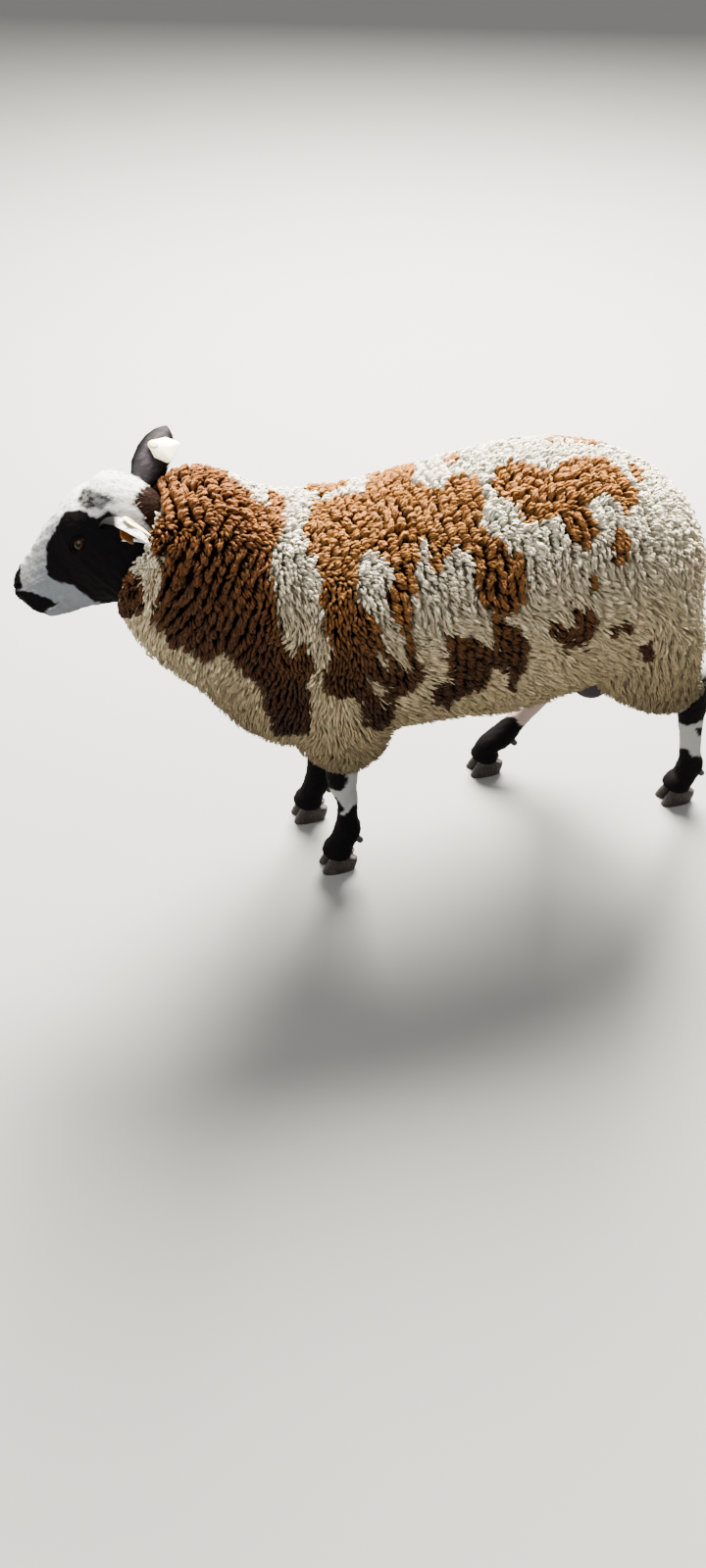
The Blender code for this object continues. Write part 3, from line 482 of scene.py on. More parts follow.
def upperForelegRows(x, y):
    return [
        (-0.095, y * 1.60, 0.520, 0.070, 0.070, 0.110),
        (-0.105, y * 1.60, 0.430, 0.080, 0.076, 0.115),
        (x + 0.000, y * 1.35, 0.345, 0.072, 0.062, 0.090),
        (x - 0.002, y * 1.12, 0.298, 0.058, 0.046, 0.066),
        (x - 0.004, y, 0.262, 0.040, 0.034, 0.042),
    ]


def thighRows(hock, y, forward):
    x, z = hock
    return [
        (0.380 - forward * 0.3, y * 1.00, 0.570, 0.085, 0.088, 0.130),
        (0.396 - forward * 0.7, y * 1.32, 0.465, 0.088, 0.096, 0.122),
        (0.428 - forward, y * 1.32, 0.385, 0.078, 0.084, 0.095),
        (0.474 - forward * 1.2, y * 1.20, 0.322, 0.060, 0.058, 0.064),
        (x - 0.030, y * 1.06, z + 0.050, 0.046, 0.044, 0.048),
        (x - 0.012, y, z + 0.028, 0.034, 0.034, 0.034),
    ]


# Each bare lower leg: forearm, knee, cannon, fetlock and pastern.
def forelegRows(foot):
    x, y = foot
    return [
        (x - 0.006, y * 1.08, 0.330, 0.032, 0.036, 0.036),
        (x - 0.006, y * 1.04, 0.270, 0.027, 0.029, 0.029),
        (x - 0.007, y, 0.235, 0.027, 0.026, 0.029),
        (x - 0.006, y, 0.205, 0.024, 0.023, 0.025),
        (x - 0.001, y, 0.175, 0.0185, 0.020, 0.019),
        (x, y, 0.120, 0.0180, 0.020, 0.018),
        (x - 0.001, y, 0.090, 0.0235, 0.026, 0.022),
        (x - 0.010, y, 0.062, 0.0225, 0.023, 0.022),
        (x - 0.018, y, 0.040, 0.0260, 0.026, 0.028),
        (x - 0.021, y, 0.028, 0.0250, 0.024, 0.028),
    ]


# The same behind: the shin runs straight from the hock to the fetlock.
def hindlegRows(foot, hock):
    x, y = foot
    hockX, hockZ = hock

    def shin(z):
        return x + (hockX - x) * (z - 0.07) / (hockZ - 0.07)

    return [
        (hockX - 0.034, y * 1.10, hockZ + 0.085, 0.034, 0.036, 0.046),
        (hockX - 0.012, y * 1.05, hockZ + 0.040, 0.027, 0.030, 0.036),
        (hockX, y, hockZ, 0.0260, 0.029, 0.029),
        (shin(hockZ - 0.045), y, hockZ - 0.045, 0.0220, 0.022, 0.024),
        (shin(0.150), y, 0.150, 0.0180, 0.020, 0.019),
        (shin(0.112), y, 0.112, 0.0190, 0.021, 0.019),
        (shin(0.086), y, 0.086, 0.0235, 0.026, 0.022),
        (shin(0.062) - 0.010, y, 0.060, 0.0225, 0.023, 0.022),
        (x - 0.019, y, 0.040, 0.0260, 0.026, 0.028),
        (x - 0.022, y, 0.028, 0.0250, 0.024, 0.028),
    ]


def legRows(name):
    leg = feet[name]
    return hindlegRows(leg["foot"], leg["hock"]) if "hock" in leg else forelegRows(leg["foot"])


core = {"depth": 0.022, "mostOfRadius": 0.50, "voxel": 0.007, "smoothing": 6}


# The skin under the fleece: every woolly tube drawn in by the core's depth, melted into one surface of even
# quads and smoothed, so that the legs run into the trunk with no seam.
def woolCore():
    specs = [
        (trunkRows, (0.050, 0.060), 1.0),
        (neckRows, (0.030, 0.050), 1.0),
        (tailRows, (0.020, 0.025), 1.0),
        (scrotumRows, (0.018, 0.022), 0.0),
        (sheathRows, (0.018, 0.022), 0.0),
    ]
    for leg in feet.values():
        x, y = leg["foot"]
        upper = thighRows(leg["hock"], y, leg["forward"]) if "hock" in leg else upperForelegRows(x, y)
        specs.append((upper, (0.040, 0.016), 1.0))
    tubes = []
    for rows, domes, drawn in specs:
        thin = min(row[5] for row in rows)
        grow = -drawn * min(core["depth"], core["mostOfRadius"] * thin)
        tubes.append(tubeShape(tubeGrid(rows, 40, 48, domes, grow=grow, steps=10)))
    whole = joinShapes(tubes)
    mesh = bpy.data.meshes.new("melting")
    mesh.from_pydata(whole["vertices"], [], [*whole["quads"].tolist(), *whole["triangles"].tolist()])
    melting = bpy.data.objects.new("melting", mesh)
    bpy.context.scene.collection.objects.link(melting)
    remesh = melting.modifiers.new("even", "REMESH")
    remesh.mode = "VOXEL"
    remesh.voxel_size = core["voxel"]
    smooth = melting.modifiers.new("smooth", "SMOOTH")
    smooth.iterations = core["smoothing"]
    melted = bpy.data.meshes.new_from_object(melting.evaluated_get(bpy.context.evaluated_depsgraph_get()))

    def readOut(elements, field, width, kind):
        values = np.empty(len(elements) * width, kind)
        elements.foreach_get(field, values)
        return values

    vertices = readOut(melted.vertices, "co", 3, np.float32)
    normals = readOut(melted.vertices, "normal", 3, np.float32)
    corners = readOut(melted.loops, "vertex_index", 1, np.int32)
    sizes = readOut(melted.polygons, "loop_total", 1, np.int32)
    start = np.concatenate([[0], np.cumsum(sizes)[:-1]])
    quads = corners[start[sizes == 4][:, None] + np.arange(4)]
    triangles = corners[start[sizes == 3][:, None] + np.arange(3)]
    bpy.data.objects.remove(melting)
    bpy.data.meshes.remove(mesh)
    bpy.data.meshes.remove(melted)
    shape = {"vertices": vertices.reshape(-1, 3).astype(float), "quads": quads, "triangles": triangles}
    return turnedOut(shape), normals.reshape(-1, 3).astype(float)


# The head, in its own directions: back from the nose tip, to the ram's right, and up

noseTip = np.array([-0.572, 0.064, 0.600])
pollTop = np.array([-0.350, -0.002, 0.762])
headLength = float(np.linalg.norm(pollTop - noseTip))
headBack = (pollTop - noseTip) / headLength
headRight = unit(np.array([-headBack[1], headBack[0], 0.0]))
headUp = np.cross(headBack, headRight)
headDomes = (0.026, 0.058)

# Share of the length from the nose, half width, reach to brow, reach to jaw, how much wider the brow is.
headRows = np.array([
    (0.00, 0.024, 0.022, 0.036, 0.00),
    (0.07, 0.030, 0.031, 0.051, 0.02),
    (0.15, 0.033, 0.039, 0.062, 0.02),
    (0.27, 0.036, 0.050, 0.070, 0.04),
    (0.41, 0.045, 0.064, 0.086, 0.10),
    (0.55, 0.058, 0.076, 0.102, 0.12),
    (0.66, 0.062, 0.080, 0.110, 0.10),
    (0.78, 0.060, 0.077, 0.108, 0.05),
    (0.90, 0.055, 0.072, 0.096, 0.02),
    (1.00, 0.048, 0.062, 0.066, 0.00),
])

# Swellings and hollows on both sides: share, degrees up from the side, height, reach along, degrees of reach.
headForms = [
    (0.620, 42, 0.0055, 0.080, 22),
    (0.450, 22, -0.0035, 0.075, 24),
    (0.690, -38, 0.0040, 0.110, 30),
    (0.270, -12, -0.0020, 0.075, 26),
    (0.050, 28, 0.0030, 0.040, 22),
    (0.085, -26, 0.0030, 0.055, 16),
    (0.085, -60, 0.0025, 0.065, 16),
    (0.860, 90, 0.0070, 0.100, 40),
    (0.520, -4, 0.0022, 0.060, 9),
    (0.560, 4, -0.0020, 0.050, 8),
    (0.400, 78, 0.0016, 0.140, 18),
    (0.740, 70, -0.0018, 0.060, 16),
]


# An oval section at each share, scaled by the domes and swollen outwards by a bell curve for each form.
def headPoints(share, angle, grow=0.0):
    share, angle = np.broadcast_arrays(share, angle)
    half, above, below, lean = [np.interp(share, headRows[:, 0], headRows[:, k]) for k in range(1, 5)]
    along = share * headLength
    dome = domeScale(along, headLength, *headDomes)
    fan, rise = oval(angle, 2.3)
    wide = half * (1 + lean * rise) * fan * dome
    high = np.where(rise > 0, above, below) * rise * dome
    degrees = np.degrees(np.arcsin(np.clip(np.sin(angle), -1, 1)))
    swell = np.zeros(share.shape)
    for at, up, height, reachAlong, reachRound in headForms:
        away = ((share - at) / reachAlong) ** 2 + ((degrees - up) / reachRound) ** 2
        swell = swell + height * np.exp(-away)
    out = 1 + (swell * dome + grow) / np.maximum(np.hypot(wide, high), 1e-9)
    return headPlace(along[..., None], (wide * out)[..., None], (high * out)[..., None])


def headPlace(along, right, up):
    return noseTip + headBack * along + headRight * right + headUp * up


def headDirection(back, right, up):
    return unit(headBack * back + headRight * right + headUp * up)


# Distance back, to the right and up from the head's line for each point.
def headLocal(points):
    offset = points - noseTip
    return offset @ headBack, offset @ headRight, offset @ headUp


# How far out a point is, as a share of the head's own reach in that direction: below 1 it is inside.
def headDepth(points):
    along, right, up = headLocal(points)
    share = np.clip(along / headLength, 0.001, 0.999)
    half, above, below = [np.interp(share, headRows[:, 0], headRows[:, k]) for k in (1, 2, 3)]
    angle = np.arctan2(up / np.where(up > 0, above, below), right / half)
    surface = headPoints(share, angle)
    _, right0, up0 = headLocal(surface)
    ratio = np.hypot(right, up) / np.maximum(np.hypot(right0, up0), 1e-6)
    return np.where((along > 0) & (along < headLength), ratio, 9.0)


eye = {
    "radius": 0.0145,
    "along": 0.174,
    "out": 0.0480,
    "up": 0.034,
    "lidThickness": 0.0024,
    "halfLength": 0.0135,
    "rise": 0.0072,
    "drop": 0.0058,
    "irisRadius": 0.0088,
    "cornea": 0.0010,
}


# Centre, and the directions outward, to the inner corner and up, of the right eye (1) or the left (-1).
def eyeFrame(side):
    centre = headPlace(eye["along"], side * eye["out"], eye["up"])
    outward = headDirection(-0.18, side * 0.95, 0.24)
    corner = headDirection(-0.96, side * 0.10, -0.24)
    corner = inSurface(corner, outward)
    up = np.cross(outward, corner)
    return centre, outward, corner, up * np.sign(up @ headUp)


# The gap between the lids: an ellipse with a higher upper half, drawn in towards its two corners.
def almond(turn, size=1.0):
    wide = eye["halfLength"] * np.cos(turn) * size
    reach = np.where(np.sin(turn) > 0, eye["rise"], eye["drop"])
    return wide, reach * np.sin(turn) * (1 - 0.25 * np.cos(turn) ** 2) * size


# Smallest distance from each point to a line of sampled points, and the share along the line where that is.
def nearLine(points, line):
    distance = np.linalg.norm(points[:, None] - line[None], axis=2)
    nearest = distance.argmin(1)
    return distance[np.arange(len(points)), nearest], nearest / (len(line) - 1)


mouth = {
    "end": 0.300,
    "depth": 0.0046 / 1.4,
    "halfWidth": 0.0011,
    "lip": 0.0011 / 1.4,
    "lipAt": 0.0042,
    "lipWidth": 0.0026,
    "fade": (0.45, 0.82),
    "darkUntil": (0.55, 0.75),
}


# The mouth's line from the front of the muzzle back along one side, just below its widest part.
def mouthLine(side):
    share = np.linspace(0.002, mouth["end"], 60)
    angle = np.radians(np.interp(share, (0.0, 0.10, 0.20, mouth["end"]), (-30, -27, -25, -17)))
    return headPoints(share, angle if side > 0 else math.pi - angle)


# A comma-shaped line back and up over the side of the nose.
def nostrilLine(side):
    start = headPoints(np.array(0.012), np.radians(14 if side > 0 else 166))
    end = headPoints(np.array(0.105), np.radians(38 if side > 0 else 142))
    t = np.linspace(0, 1, 30)[:, None]
    return mix(start, end, t) + headUp * 0.003 * np.sin(math.pi * t)


# The head as a fine grid of the solids' own formula. Grooves for the mouth and nostrils go in along the
# normal by a bell curve of the distance to their lines, with raised lips beside them, and the lids' gap sinks
# behind the eye.
def headShape():
    along = np.concatenate([
        headDomes[0] * (1 - np.cos(np.linspace(0, math.pi / 2, 26))),
        np.linspace(headDomes[0], headLength - headDomes[1], 132)[1:-1],
        headLength - headDomes[1] * (1 - np.cos(np.linspace(0, math.pi / 2, 22)))[::-1],
    ])
    angle = fullTurn(216)
    grid = headPoints((along / headLength)[:, None], angle[None])
    down = np.gradient(grid, axis=0)
    around = np.roll(grid, -1, axis=1) - np.roll(grid, 1, axis=1)
    normal = unit(np.cross(around, down))
    outward = grid - (noseTip + headBack * along[:, None, None])
    normal = normal * np.sign((normal * outward).sum(-1).mean())
    points, normals = grid.reshape(-1, 3), normal.reshape(-1, 3)
    move = np.zeros(len(points))
    for side in (-1, 1):
        distance, at = nearLine(points, mouthLine(side))
        fade = 1 - smoothStep(*mouth["fade"], at)
        move -= mouth["depth"] * np.exp(-((distance / mouth["halfWidth"]) ** 2)) * fade
        move += mouth["lip"] * np.exp(-(((distance - mouth["lipAt"]) / mouth["lipWidth"]) ** 2)) * fade
        distance, at = nearLine(points, nostrilLine(side))
        width = np.interp(at, (0.0, 0.35, 0.75, 1.0), (0.0020, 0.0044, 0.0032, 0.0014))
        depth = np.interp(at, (0.0, 0.35, 0.75, 1.0), (0.005, 0.011, 0.008, 0.003))
        move -= depth * np.exp(-((distance / width) ** 4))
        move += 0.0016 * np.exp(-(((distance - width * 1.7) / 0.0022) ** 2))
    move += 0.00035 * waveNoise(points, 0.006, 21) + 0.0006 * waveNoise(points, 0.022, 22)
    points = points + normals * move[:, None]
    for side in (-1, 1):
        centre, out, corner, up = eyeFrame(side)
        offset = points - centre
        reach = np.hypot((offset @ corner) / (eye["halfLength"] * 1.15), (offset @ up) / (eye["rise"] * 1.45))
        sunk = (1 - smoothStep(1.0, 1.55, reach)) * (offset @ out > 0)
        points = points - out * (0.012 * sunk)[:, None]
    return tubeShape(points.reshape(grid.shape))


# The lids: rings of the almond, grown outwards. Each ring's height goes from the lid's own ball at the edge
# to the skin's height further out, and the first rings turn in over the edge down to the eyeball.
def lidShape(side, headVertices):
    centre, outward, corner, up = eyeFrame(side)
    offset = headVertices - centre
    local = np.stack([offset @ corner, offset @ up], -1)
    height = offset @ outward
    near = (np.hypot(*local.T) < 0.045) & (height > 0)
    local, height = local[near], height[near]
    turn = fullTurn(72)
    sizes = np.concatenate([[0.97, 0.98, 1.0, 1.035], 1.0 + np.linspace(0.09, 1.5, 15)])
    inside = np.concatenate([[0.0, 0.45, 0.80, 0.97], np.ones(15)])
    rings = []
    for number, size in enumerate(sizes):
        wide, high = almond(turn, size)
        high = high * (1 + 0.35 * smoothStep(1.0, 2.5, size))
        flat = np.stack([wide, high], -1)
        radius = np.hypot(wide, high)
        ball = np.sqrt(np.maximum(eye["radius"] ** 2 - radius**2, 0))
        lid = np.sqrt(np.maximum((eye["radius"] + eye["lidThickness"]) ** 2 - radius**2, 0.007**2))
        weight = np.exp(-((flat[:, None] - local[None]) ** 2).sum(-1) / (2 * 0.0022**2))
        skin = (weight * height).sum(1) / np.maximum(weight.sum(1), 1e-9)
        upper = smoothStep(-0.2, 0.5, np.sin(turn))
        level = lid + (skin - lid) * smoothStep(1.04, 1.75, size)
        level = level + upper * 0.0013 * np.exp(-(((size - 1.16) / 0.12) ** 2))
        level = level - (0.0012 * upper + 0.0004) * np.exp(-(((size - 1.42) / 0.10) ** 2))
        level = level + 0.0006 * upper * np.exp(-(((size - 1.68) / 0.14) ** 2))
        level = level - 0.0009 * smoothStep(2.2, 2.5, size)
        level = mix(ball - 0.0010, level, inside[number])
        rings.append(centre + corner * wide[:, None] + up * high[:, None] + outward * level[:, None])
    grid = np.array(rings)
    quads = ringQuads(*grid.shape[:2])
    corners = grid.reshape(-1, 3)[quads[len(quads) // 2]]
    facing = np.cross(corners[1] - corners[0], corners[2] - corners[0]) @ outward
    if facing < 0:
        quads = quads[:, ::-1]
    return {"vertices": grid.reshape(-1, 3), "quads": quads, "triangles": np.zeros((0, 3), int)}


# The eyeball: a sphere whose front swells a little into the cornea, with each point's place in iris radii.
def eyeShape(side):
    centre, outward, corner, up = eyeFrame(side)
    down = np.linspace(0, math.pi, 44)[:, None]
    turn = fullTurn(56)[None]
    radius = eye["radius"] - 0.0003 + eye["cornea"] * np.exp(-((down / 0.48) ** 2))
    along = radius * np.sin(down) * np.cos(turn)
    rise = radius * np.sin(down) * np.sin(turn)
    out = radius * np.cos(down) + 0 * turn
    grid = centre + corner * along[..., None] + up * rise[..., None] + outward * out[..., None]
    shape = tubeShape(grid)
    offset = shape["vertices"] - centre
    behind = np.where(offset @ outward < 0, 2.0, 0.0)
    shape["eyeAlong"] = (offset @ corner) / eye["irisRadius"] + behind
    shape["eyeUp"] = (offset @ up) / eye["irisRadius"]
    return shape


ear = {
    "length": 0.104,
    "width": 0.053,
    "wall": 0.0032,
    "roots": {1: (0.262, 0.032, 0.029), -1: (0.228, -0.044, 0.0325)},
    "directions": {1: (0.52, 0.82, 0.25), -1: (0.63, -0.75, -0.10)},
    "openings": {1: (-0.53, 0.53, -0.62), -1: (-0.80, -0.42, -0.25)},
}

# Stations of an ear: share of its length, share of its half width, and the curl of its sides in radians.
earRows = np.array([
    (0.00, 0.46, 2.20),
    (0.12, 0.74, 1.80),
    (0.30, 1.00, 1.25),
    (0.55, 0.98, 0.95),
    (0.74, 0.82, 0.85),
    (0.88, 0.54, 0.80),
    (0.96, 0.26, 0.75),
    (1.00, 0.05, 0.75),
])


# Root, and the directions along the ear, to its rear edge and out of its opening.
def earFrame(side):
    root = headPlace(*ear["roots"][side])
    along = headDirection(*ear["directions"][side])
    opening = headDirection(*ear["openings"][side])
    opening = inSurface(opening, along)
    return root, along, np.cross(opening, along) * side, opening


# The ear's middle sheet: a strip rolled into an arc at each share t of its length, u from -1 to 1 across it.
def earSurface(side, t, u):
    root, along, across, opening = earFrame(side)
    half = ear["width"] / 2 * np.interp(t, earRows[:, 0], earRows[:, 1])
    curl = np.interp(t, earRows[:, 0], earRows[:, 2])
    scale = half / np.sin(np.minimum(curl, math.pi / 2))
    wide = scale * np.sin(u * curl)
    deep = scale * (1 - np.cos(u * curl)) - half * 0.35
    place = root + along * (ear["length"] * t)[..., None] + across * wide[..., None] + opening * deep[..., None]
    return place - np.array([0, 0, 0.10 * ear["length"]]) * (t**2)[..., None]


# The sheet given a wall, thinner towards its rim, with shallow ribs along the inside.
def earShape(side):
    closer = 0.86 + 0.14 * np.sin(np.linspace(0.08, 1, 14) * math.pi / 2)
    rows = np.concatenate([np.linspace(0, 0.86, 40), closer])
    t, u = np.meshgrid(rows, np.sin(np.linspace(-1, 1, 34) * math.pi / 2), indexing="ij")
    sheet = earSurface(side, t, u)
    normal = unit(np.cross(np.gradient(sheet, axis=0), np.gradient(sheet, axis=1)))
    _, _, _, opening = earFrame(side)
    inner = np.sign((normal @ opening)[20, 17])
    wall = ear["wall"] / 2 * (1 - 0.45 * np.abs(u) ** 3) * (1 - 0.35 * t) * np.sqrt(1 - 0.92 * u**20)
    ribs = 0.0005 * np.cos(u * 14.0) * (1 - t) * (1 - u**2)
    cup = sheet + normal * (inner * (wall + ribs))[..., None]
    back = sheet - normal * (inner * wall)[..., None]
    shape = tubeShape(np.concatenate([cup, back[:, ::-1]], axis=1), pointed=False)
    count = cup.shape[1]
    inside = np.concatenate([np.ones(count), np.zeros(count)])[None] * np.ones((len(rows), 1))
    along = np.broadcast_to(rows[:, None], inside.shape)
    rim = np.abs(np.concatenate([u, u[:, ::-1]], axis=1))
    extra = [np.concatenate([values.ravel(), [values[0, 0], values[-1, 0]]]) for values in (inside, along, rim)]
    return shape, extra


# Where the coat changes colour. Outlines are in the picture's own pixels, and are carried straight through
# the body along the view, so that the far side has the same patches, mirrored over the back.

brownMarks = {
    "neck": [
        (145, 455), (153, 500), (158, 530), (154, 548), (162, 568), (166, 592), (160, 610), (156, 625),
        (163, 642), (177, 658), (197, 663), (213, 672), (228, 662), (238, 672), (246, 683), (262, 688),
        (268, 703), (272, 717), (277, 745), (318, 745), (315, 715), (314, 693), (320, 681), (319, 663),
        (311, 652), (297, 669), (288, 652), (285, 627), (281, 613), (280, 597), (275, 585), (276, 570),
        (280, 556), (284, 540), (287, 518), (286, 508), (271, 503), (268, 517), (257, 516), (252, 503),
        (240, 496), (225, 478), (200, 460), (170, 450),
    ],
    "cheekWool": [
        (116, 572), (131, 575), (132, 585), (139, 594), (146, 604), (143, 622), (134, 627), (118, 626),
    ],
    "side": [
        (300, 488), (330, 460), (415, 455), (421, 482), (417, 491), (424, 497), (437, 502), (449, 500),
        (455, 491), (472, 489), (482, 490), (489, 498), (492, 515), (488, 528), (489, 540), (502, 549),
        (513, 553), (516, 564), (528, 561), (536, 571), (538, 597), (533, 607), (524, 620), (513, 624),
        (497, 622), (489, 608), (484, 591), (482, 574), (475, 564), (461, 561), (452, 566), (448, 578),
        (443, 593), (438, 575), (436, 559), (426, 549), (423, 560), (426, 580), (422, 592), (419, 617),
        (416, 642), (420, 668), (424, 690), (414, 706), (402, 713), (396, 730), (382, 745), (366, 742),
        (370, 715), (358, 710), (345, 712), (335, 706), (332, 690), (329, 680), (337, 668), (338, 658),
        (333, 637), (331, 620), (328, 600), (323, 583), (320, 570), (310, 568), (307, 543), (310, 527),
        (315, 518), (312, 506),
    ],
    "lowerFlank": [
        (456, 646), (475, 649), (485, 656), (499, 661), (502, 675), (497, 690), (485, 705), (465, 709),
        (455, 721), (439, 717), (438, 699), (455, 693), (453, 668),
    ],
    "midFlank": [
        (500, 620), (508, 622), (516, 637), (528, 644), (536, 656), (533, 673), (526, 687), (521, 703),
        (514, 703), (512, 686), (501, 680), (502, 655), (500, 640),
    ],
    "rump": [
        (499, 481), (521, 473), (543, 476), (560, 484), (570, 476), (586, 469), (610, 469), (623, 476),
        (640, 493), (647, 505), (645, 518), (633, 524), (623, 512), (610, 508), (599, 515), (603, 532),
        (606, 546), (599, 556), (592, 563), (586, 556), (579, 541), (572, 525), (562, 525), (550, 534),
        (538, 539), (530, 532), (528, 522), (513, 512), (501, 498),
    ],
    "hip": [(623, 539), (632, 535), (638, 542), (642, 556), (640, 568), (633, 580), (628, 571), (625, 556)],
    "stifle": [
        (582, 610), (589, 617), (601, 619), (604, 634), (601, 651), (594, 666), (584, 658), (576, 668),
        (572, 658), (562, 648), (560, 637), (572, 636), (579, 641), (584, 626),
    ],
    "stifleStreak": [(599, 580), (603, 583), (606, 600), (602, 610), (599, 598)],
    "thighStreak": [(618, 646), (628, 640), (642, 634), (640, 641), (628, 648), (619, 651)],
    "thighSpot": [(650, 658), (659, 650), (664, 661), (661, 672), (652, 668)],
    "backSpot": [(453, 470), (468, 466), (466, 474), (455, 476)],
    "rumpTop": [(553, 449), (585, 446), (618, 452), (605, 459), (575, 455)],
    "rumpStreak": [(630, 470), (645, 478), (656, 492), (650, 494), (638, 484)],
    "shoulder": [
        (294, 672), (312, 660), (316, 680), (313, 715), (316, 745), (278, 745), (276, 715), (286, 690),
    ],
}
whiteMarks = {
    "oval": [
        (368, 570), (380, 564), (390, 567), (395, 583), (397, 600), (394, 617), (398, 633), (407, 638),
        (410, 652), (409, 664), (416, 672), (415, 681), (404, 682), (399, 668), (392, 659), (385, 648),
        (383, 634), (374, 620), (364, 607), (361, 593), (363, 580),
    ],
    "backStreak": [
        (290, 497), (312, 504), (340, 505), (352, 500), (354, 488), (372, 488), (372, 501), (350, 509),
        (314, 513),
    ],
    "cheekTuft": [
        (132, 576), (142, 568), (152, 567), (160, 576), (162, 592), (158, 604), (155, 622), (153, 645),
        (144, 645), (144, 615), (147, 604), (138, 591), (132, 584),
    ],
    "elbowTuft": [(379, 659), (389, 663), (395, 674), (391, 682), (385, 678)],
    "elbowStreak": [(369, 689), (378, 690), (389, 703), (394, 717), (386, 716), (378, 704)],
    "elbow": [(316, 700), (330, 706), (345, 712), (360, 711), (367, 722), (366, 745), (318, 745)],
}
blackMarks = {
    "cheek": [
        (64, 523), (70, 521), (79, 520.5), (88, 522.5), (93, 527), (99, 529), (104, 525), (109, 521.5),
        (114, 522), (118, 526), (124, 536), (138, 541), (160, 545), (160, 560), (146, 570), (137, 577),
        (135, 600), (130, 640), (120, 626), (110, 620), (104, 616), (96, 613), (88, 608), (80, 602),
        (76, 597), (70, 596.5), (60, 594), (52, 590), (48, 586), (47.5, 575), (46.5, 565), (47, 557),
        (51, 549), (56, 540), (60, 531),
    ],
    "foreheadSpot": [
        (84, 498), (80, 503), (78, 510), (82, 517), (90, 520), (100, 521), (108, 518.5), (114, 513),
        (116, 507), (110, 502), (104, 503.5), (98, 503), (93, 499), (88, 497),
    ],
    "behindEar": [
        (143, 499), (149, 493), (158, 490), (165, 500), (165, 540), (154, 541), (149, 535), (144, 525),
        (140, 519), (134, 514), (137, 507),
    ],
    "nose": [(20.5, 574), (22, 582), (20, 593), (18, 602), (5, 606), (5, 575)],
    "lips": [
        (12, 601), (23, 603), (33, 604.5), (43, 608.5), (51, 611), (57, 615), (55, 618.5), (50, 621),
        (46, 624), (49, 627), (57, 631), (52, 640), (30, 640), (10, 625),
    ],
}
legBlackMarks = {
    "foreleg_left": [
        [(330, 770), (352, 780), (355, 790), (354, 802), (348, 808), (338, 806), (330, 800)],
        [(336, 815), (343, 813), (347, 820), (352, 827), (345, 831), (336, 830)],
        [(325, 832), (345, 830), (352, 832), (360, 822), (366, 818), (390, 860), (380, 910), (310, 910)],
    ],
    "foreleg_right": [[(250, 700), (400, 700), (400, 900), (250, 900)]],
    "hindleg_left": [
        [
            (684, 724), (690, 727), (698, 725), (702, 700), (722, 690), (722, 730), (712, 738), (700, 741),
            (686, 734),
        ],
        [(709, 744), (722, 740), (722, 748), (712, 752)],
        [(670, 765), (690, 763), (702, 764), (706, 772), (722, 770), (722, 840), (660, 840)],
    ],
    "hindleg_right": [[(400, 760), (505, 733), (522, 730), (533, 742), (540, 760), (520, 820), (430, 820)]],
}

# Colours named Sun and Shade are lit and shaded copies of one coat colour: painted light and painted shade. The
# ear's glow colour is painted light shining through the ear.
coatColours = {
    "brownSun": (0.43, 0.172, 0.036),
    "neckSun": (0.33, 0.120, 0.028),
    "brownShade": (0.021, 0.0060, 0.0026),
    "whiteSun": (1.0, 0.93, 0.74),
    "whiteShade": (1.0, 0.77, 0.42),
    "face": (0.42, 0.415, 0.40),
    "faceShade": (0.112, 0.120, 0.131),
    "black": (0.0030, 0.0027, 0.0029),
    "brownBlack": (0.0065, 0.0030, 0.0018),
    "noseGrey": (0.14, 0.12, 0.13),
    "pink": (0.50, 0.32, 0.25),
    "earGrey": (0.036, 0.032, 0.035),
    "earPaintedGlow": (0.36, 0.13, 0.05),
}
coatColours = {name: np.array(value) for name, value in coatColours.items()}


# Distance in pixels to an outline, above zero inside it: the least distance to an edge, with its sign from
# how many edges a line to the right crosses.
def insideBy(pixels, outline):
    points = np.array(outline, float)
    after = np.roll(points, -1, axis=0)
    distance = np.full(len(pixels), 1e9)
    crossings = np.zeros(len(pixels), int)
    for a, b in zip(points, after):
        edge = b - a
        share = np.clip(((pixels - a) @ edge) / (edge @ edge), 0, 1)
        distance = np.minimum(distance, np.linalg.norm(pixels - a - share[:, None] * edge, axis=1))
        level = (a[1] > pixels[:, 1]) != (b[1] > pixels[:, 1])
        height = b[1] - a[1] if b[1] != a[1] else 1.0
        crossings += level & (pixels[:, 0] < a[0] + (pixels[:, 1] - a[1]) * edge[0] / height)
    return np.where(crossings % 2 == 1, distance, -distance)


def insideAny(pixels, marks):
    return np.max([insideBy(pixels, outline) for outline in marks], axis=0)


# Where the wool is brown, from 0 to 1: a soft step over the brown outlines' edge, less the white ones inside
# them. The pixels are shifted by noise, a little on the near side and more on the far side.
def brownShare(points, normals, softness=1.5):
    pixels = toPicture(points)
    _, _, forward = cameraAxes()
    hidden = smoothStep(-0.05, 0.35, normals @ forward)
    pixels = pixels + 2.2 * shiftNoise(points, 0.05, 31)
    pixels = pixels + (22.0 * hidden)[:, None] * shiftNoise(points, 0.35, 33)
    brown = smoothStep(-softness, softness, insideAny(pixels, brownMarks.values()))
    white = smoothStep(-softness, softness, insideAny(pixels, whiteMarks.values()))
    return brown * (1 - white)
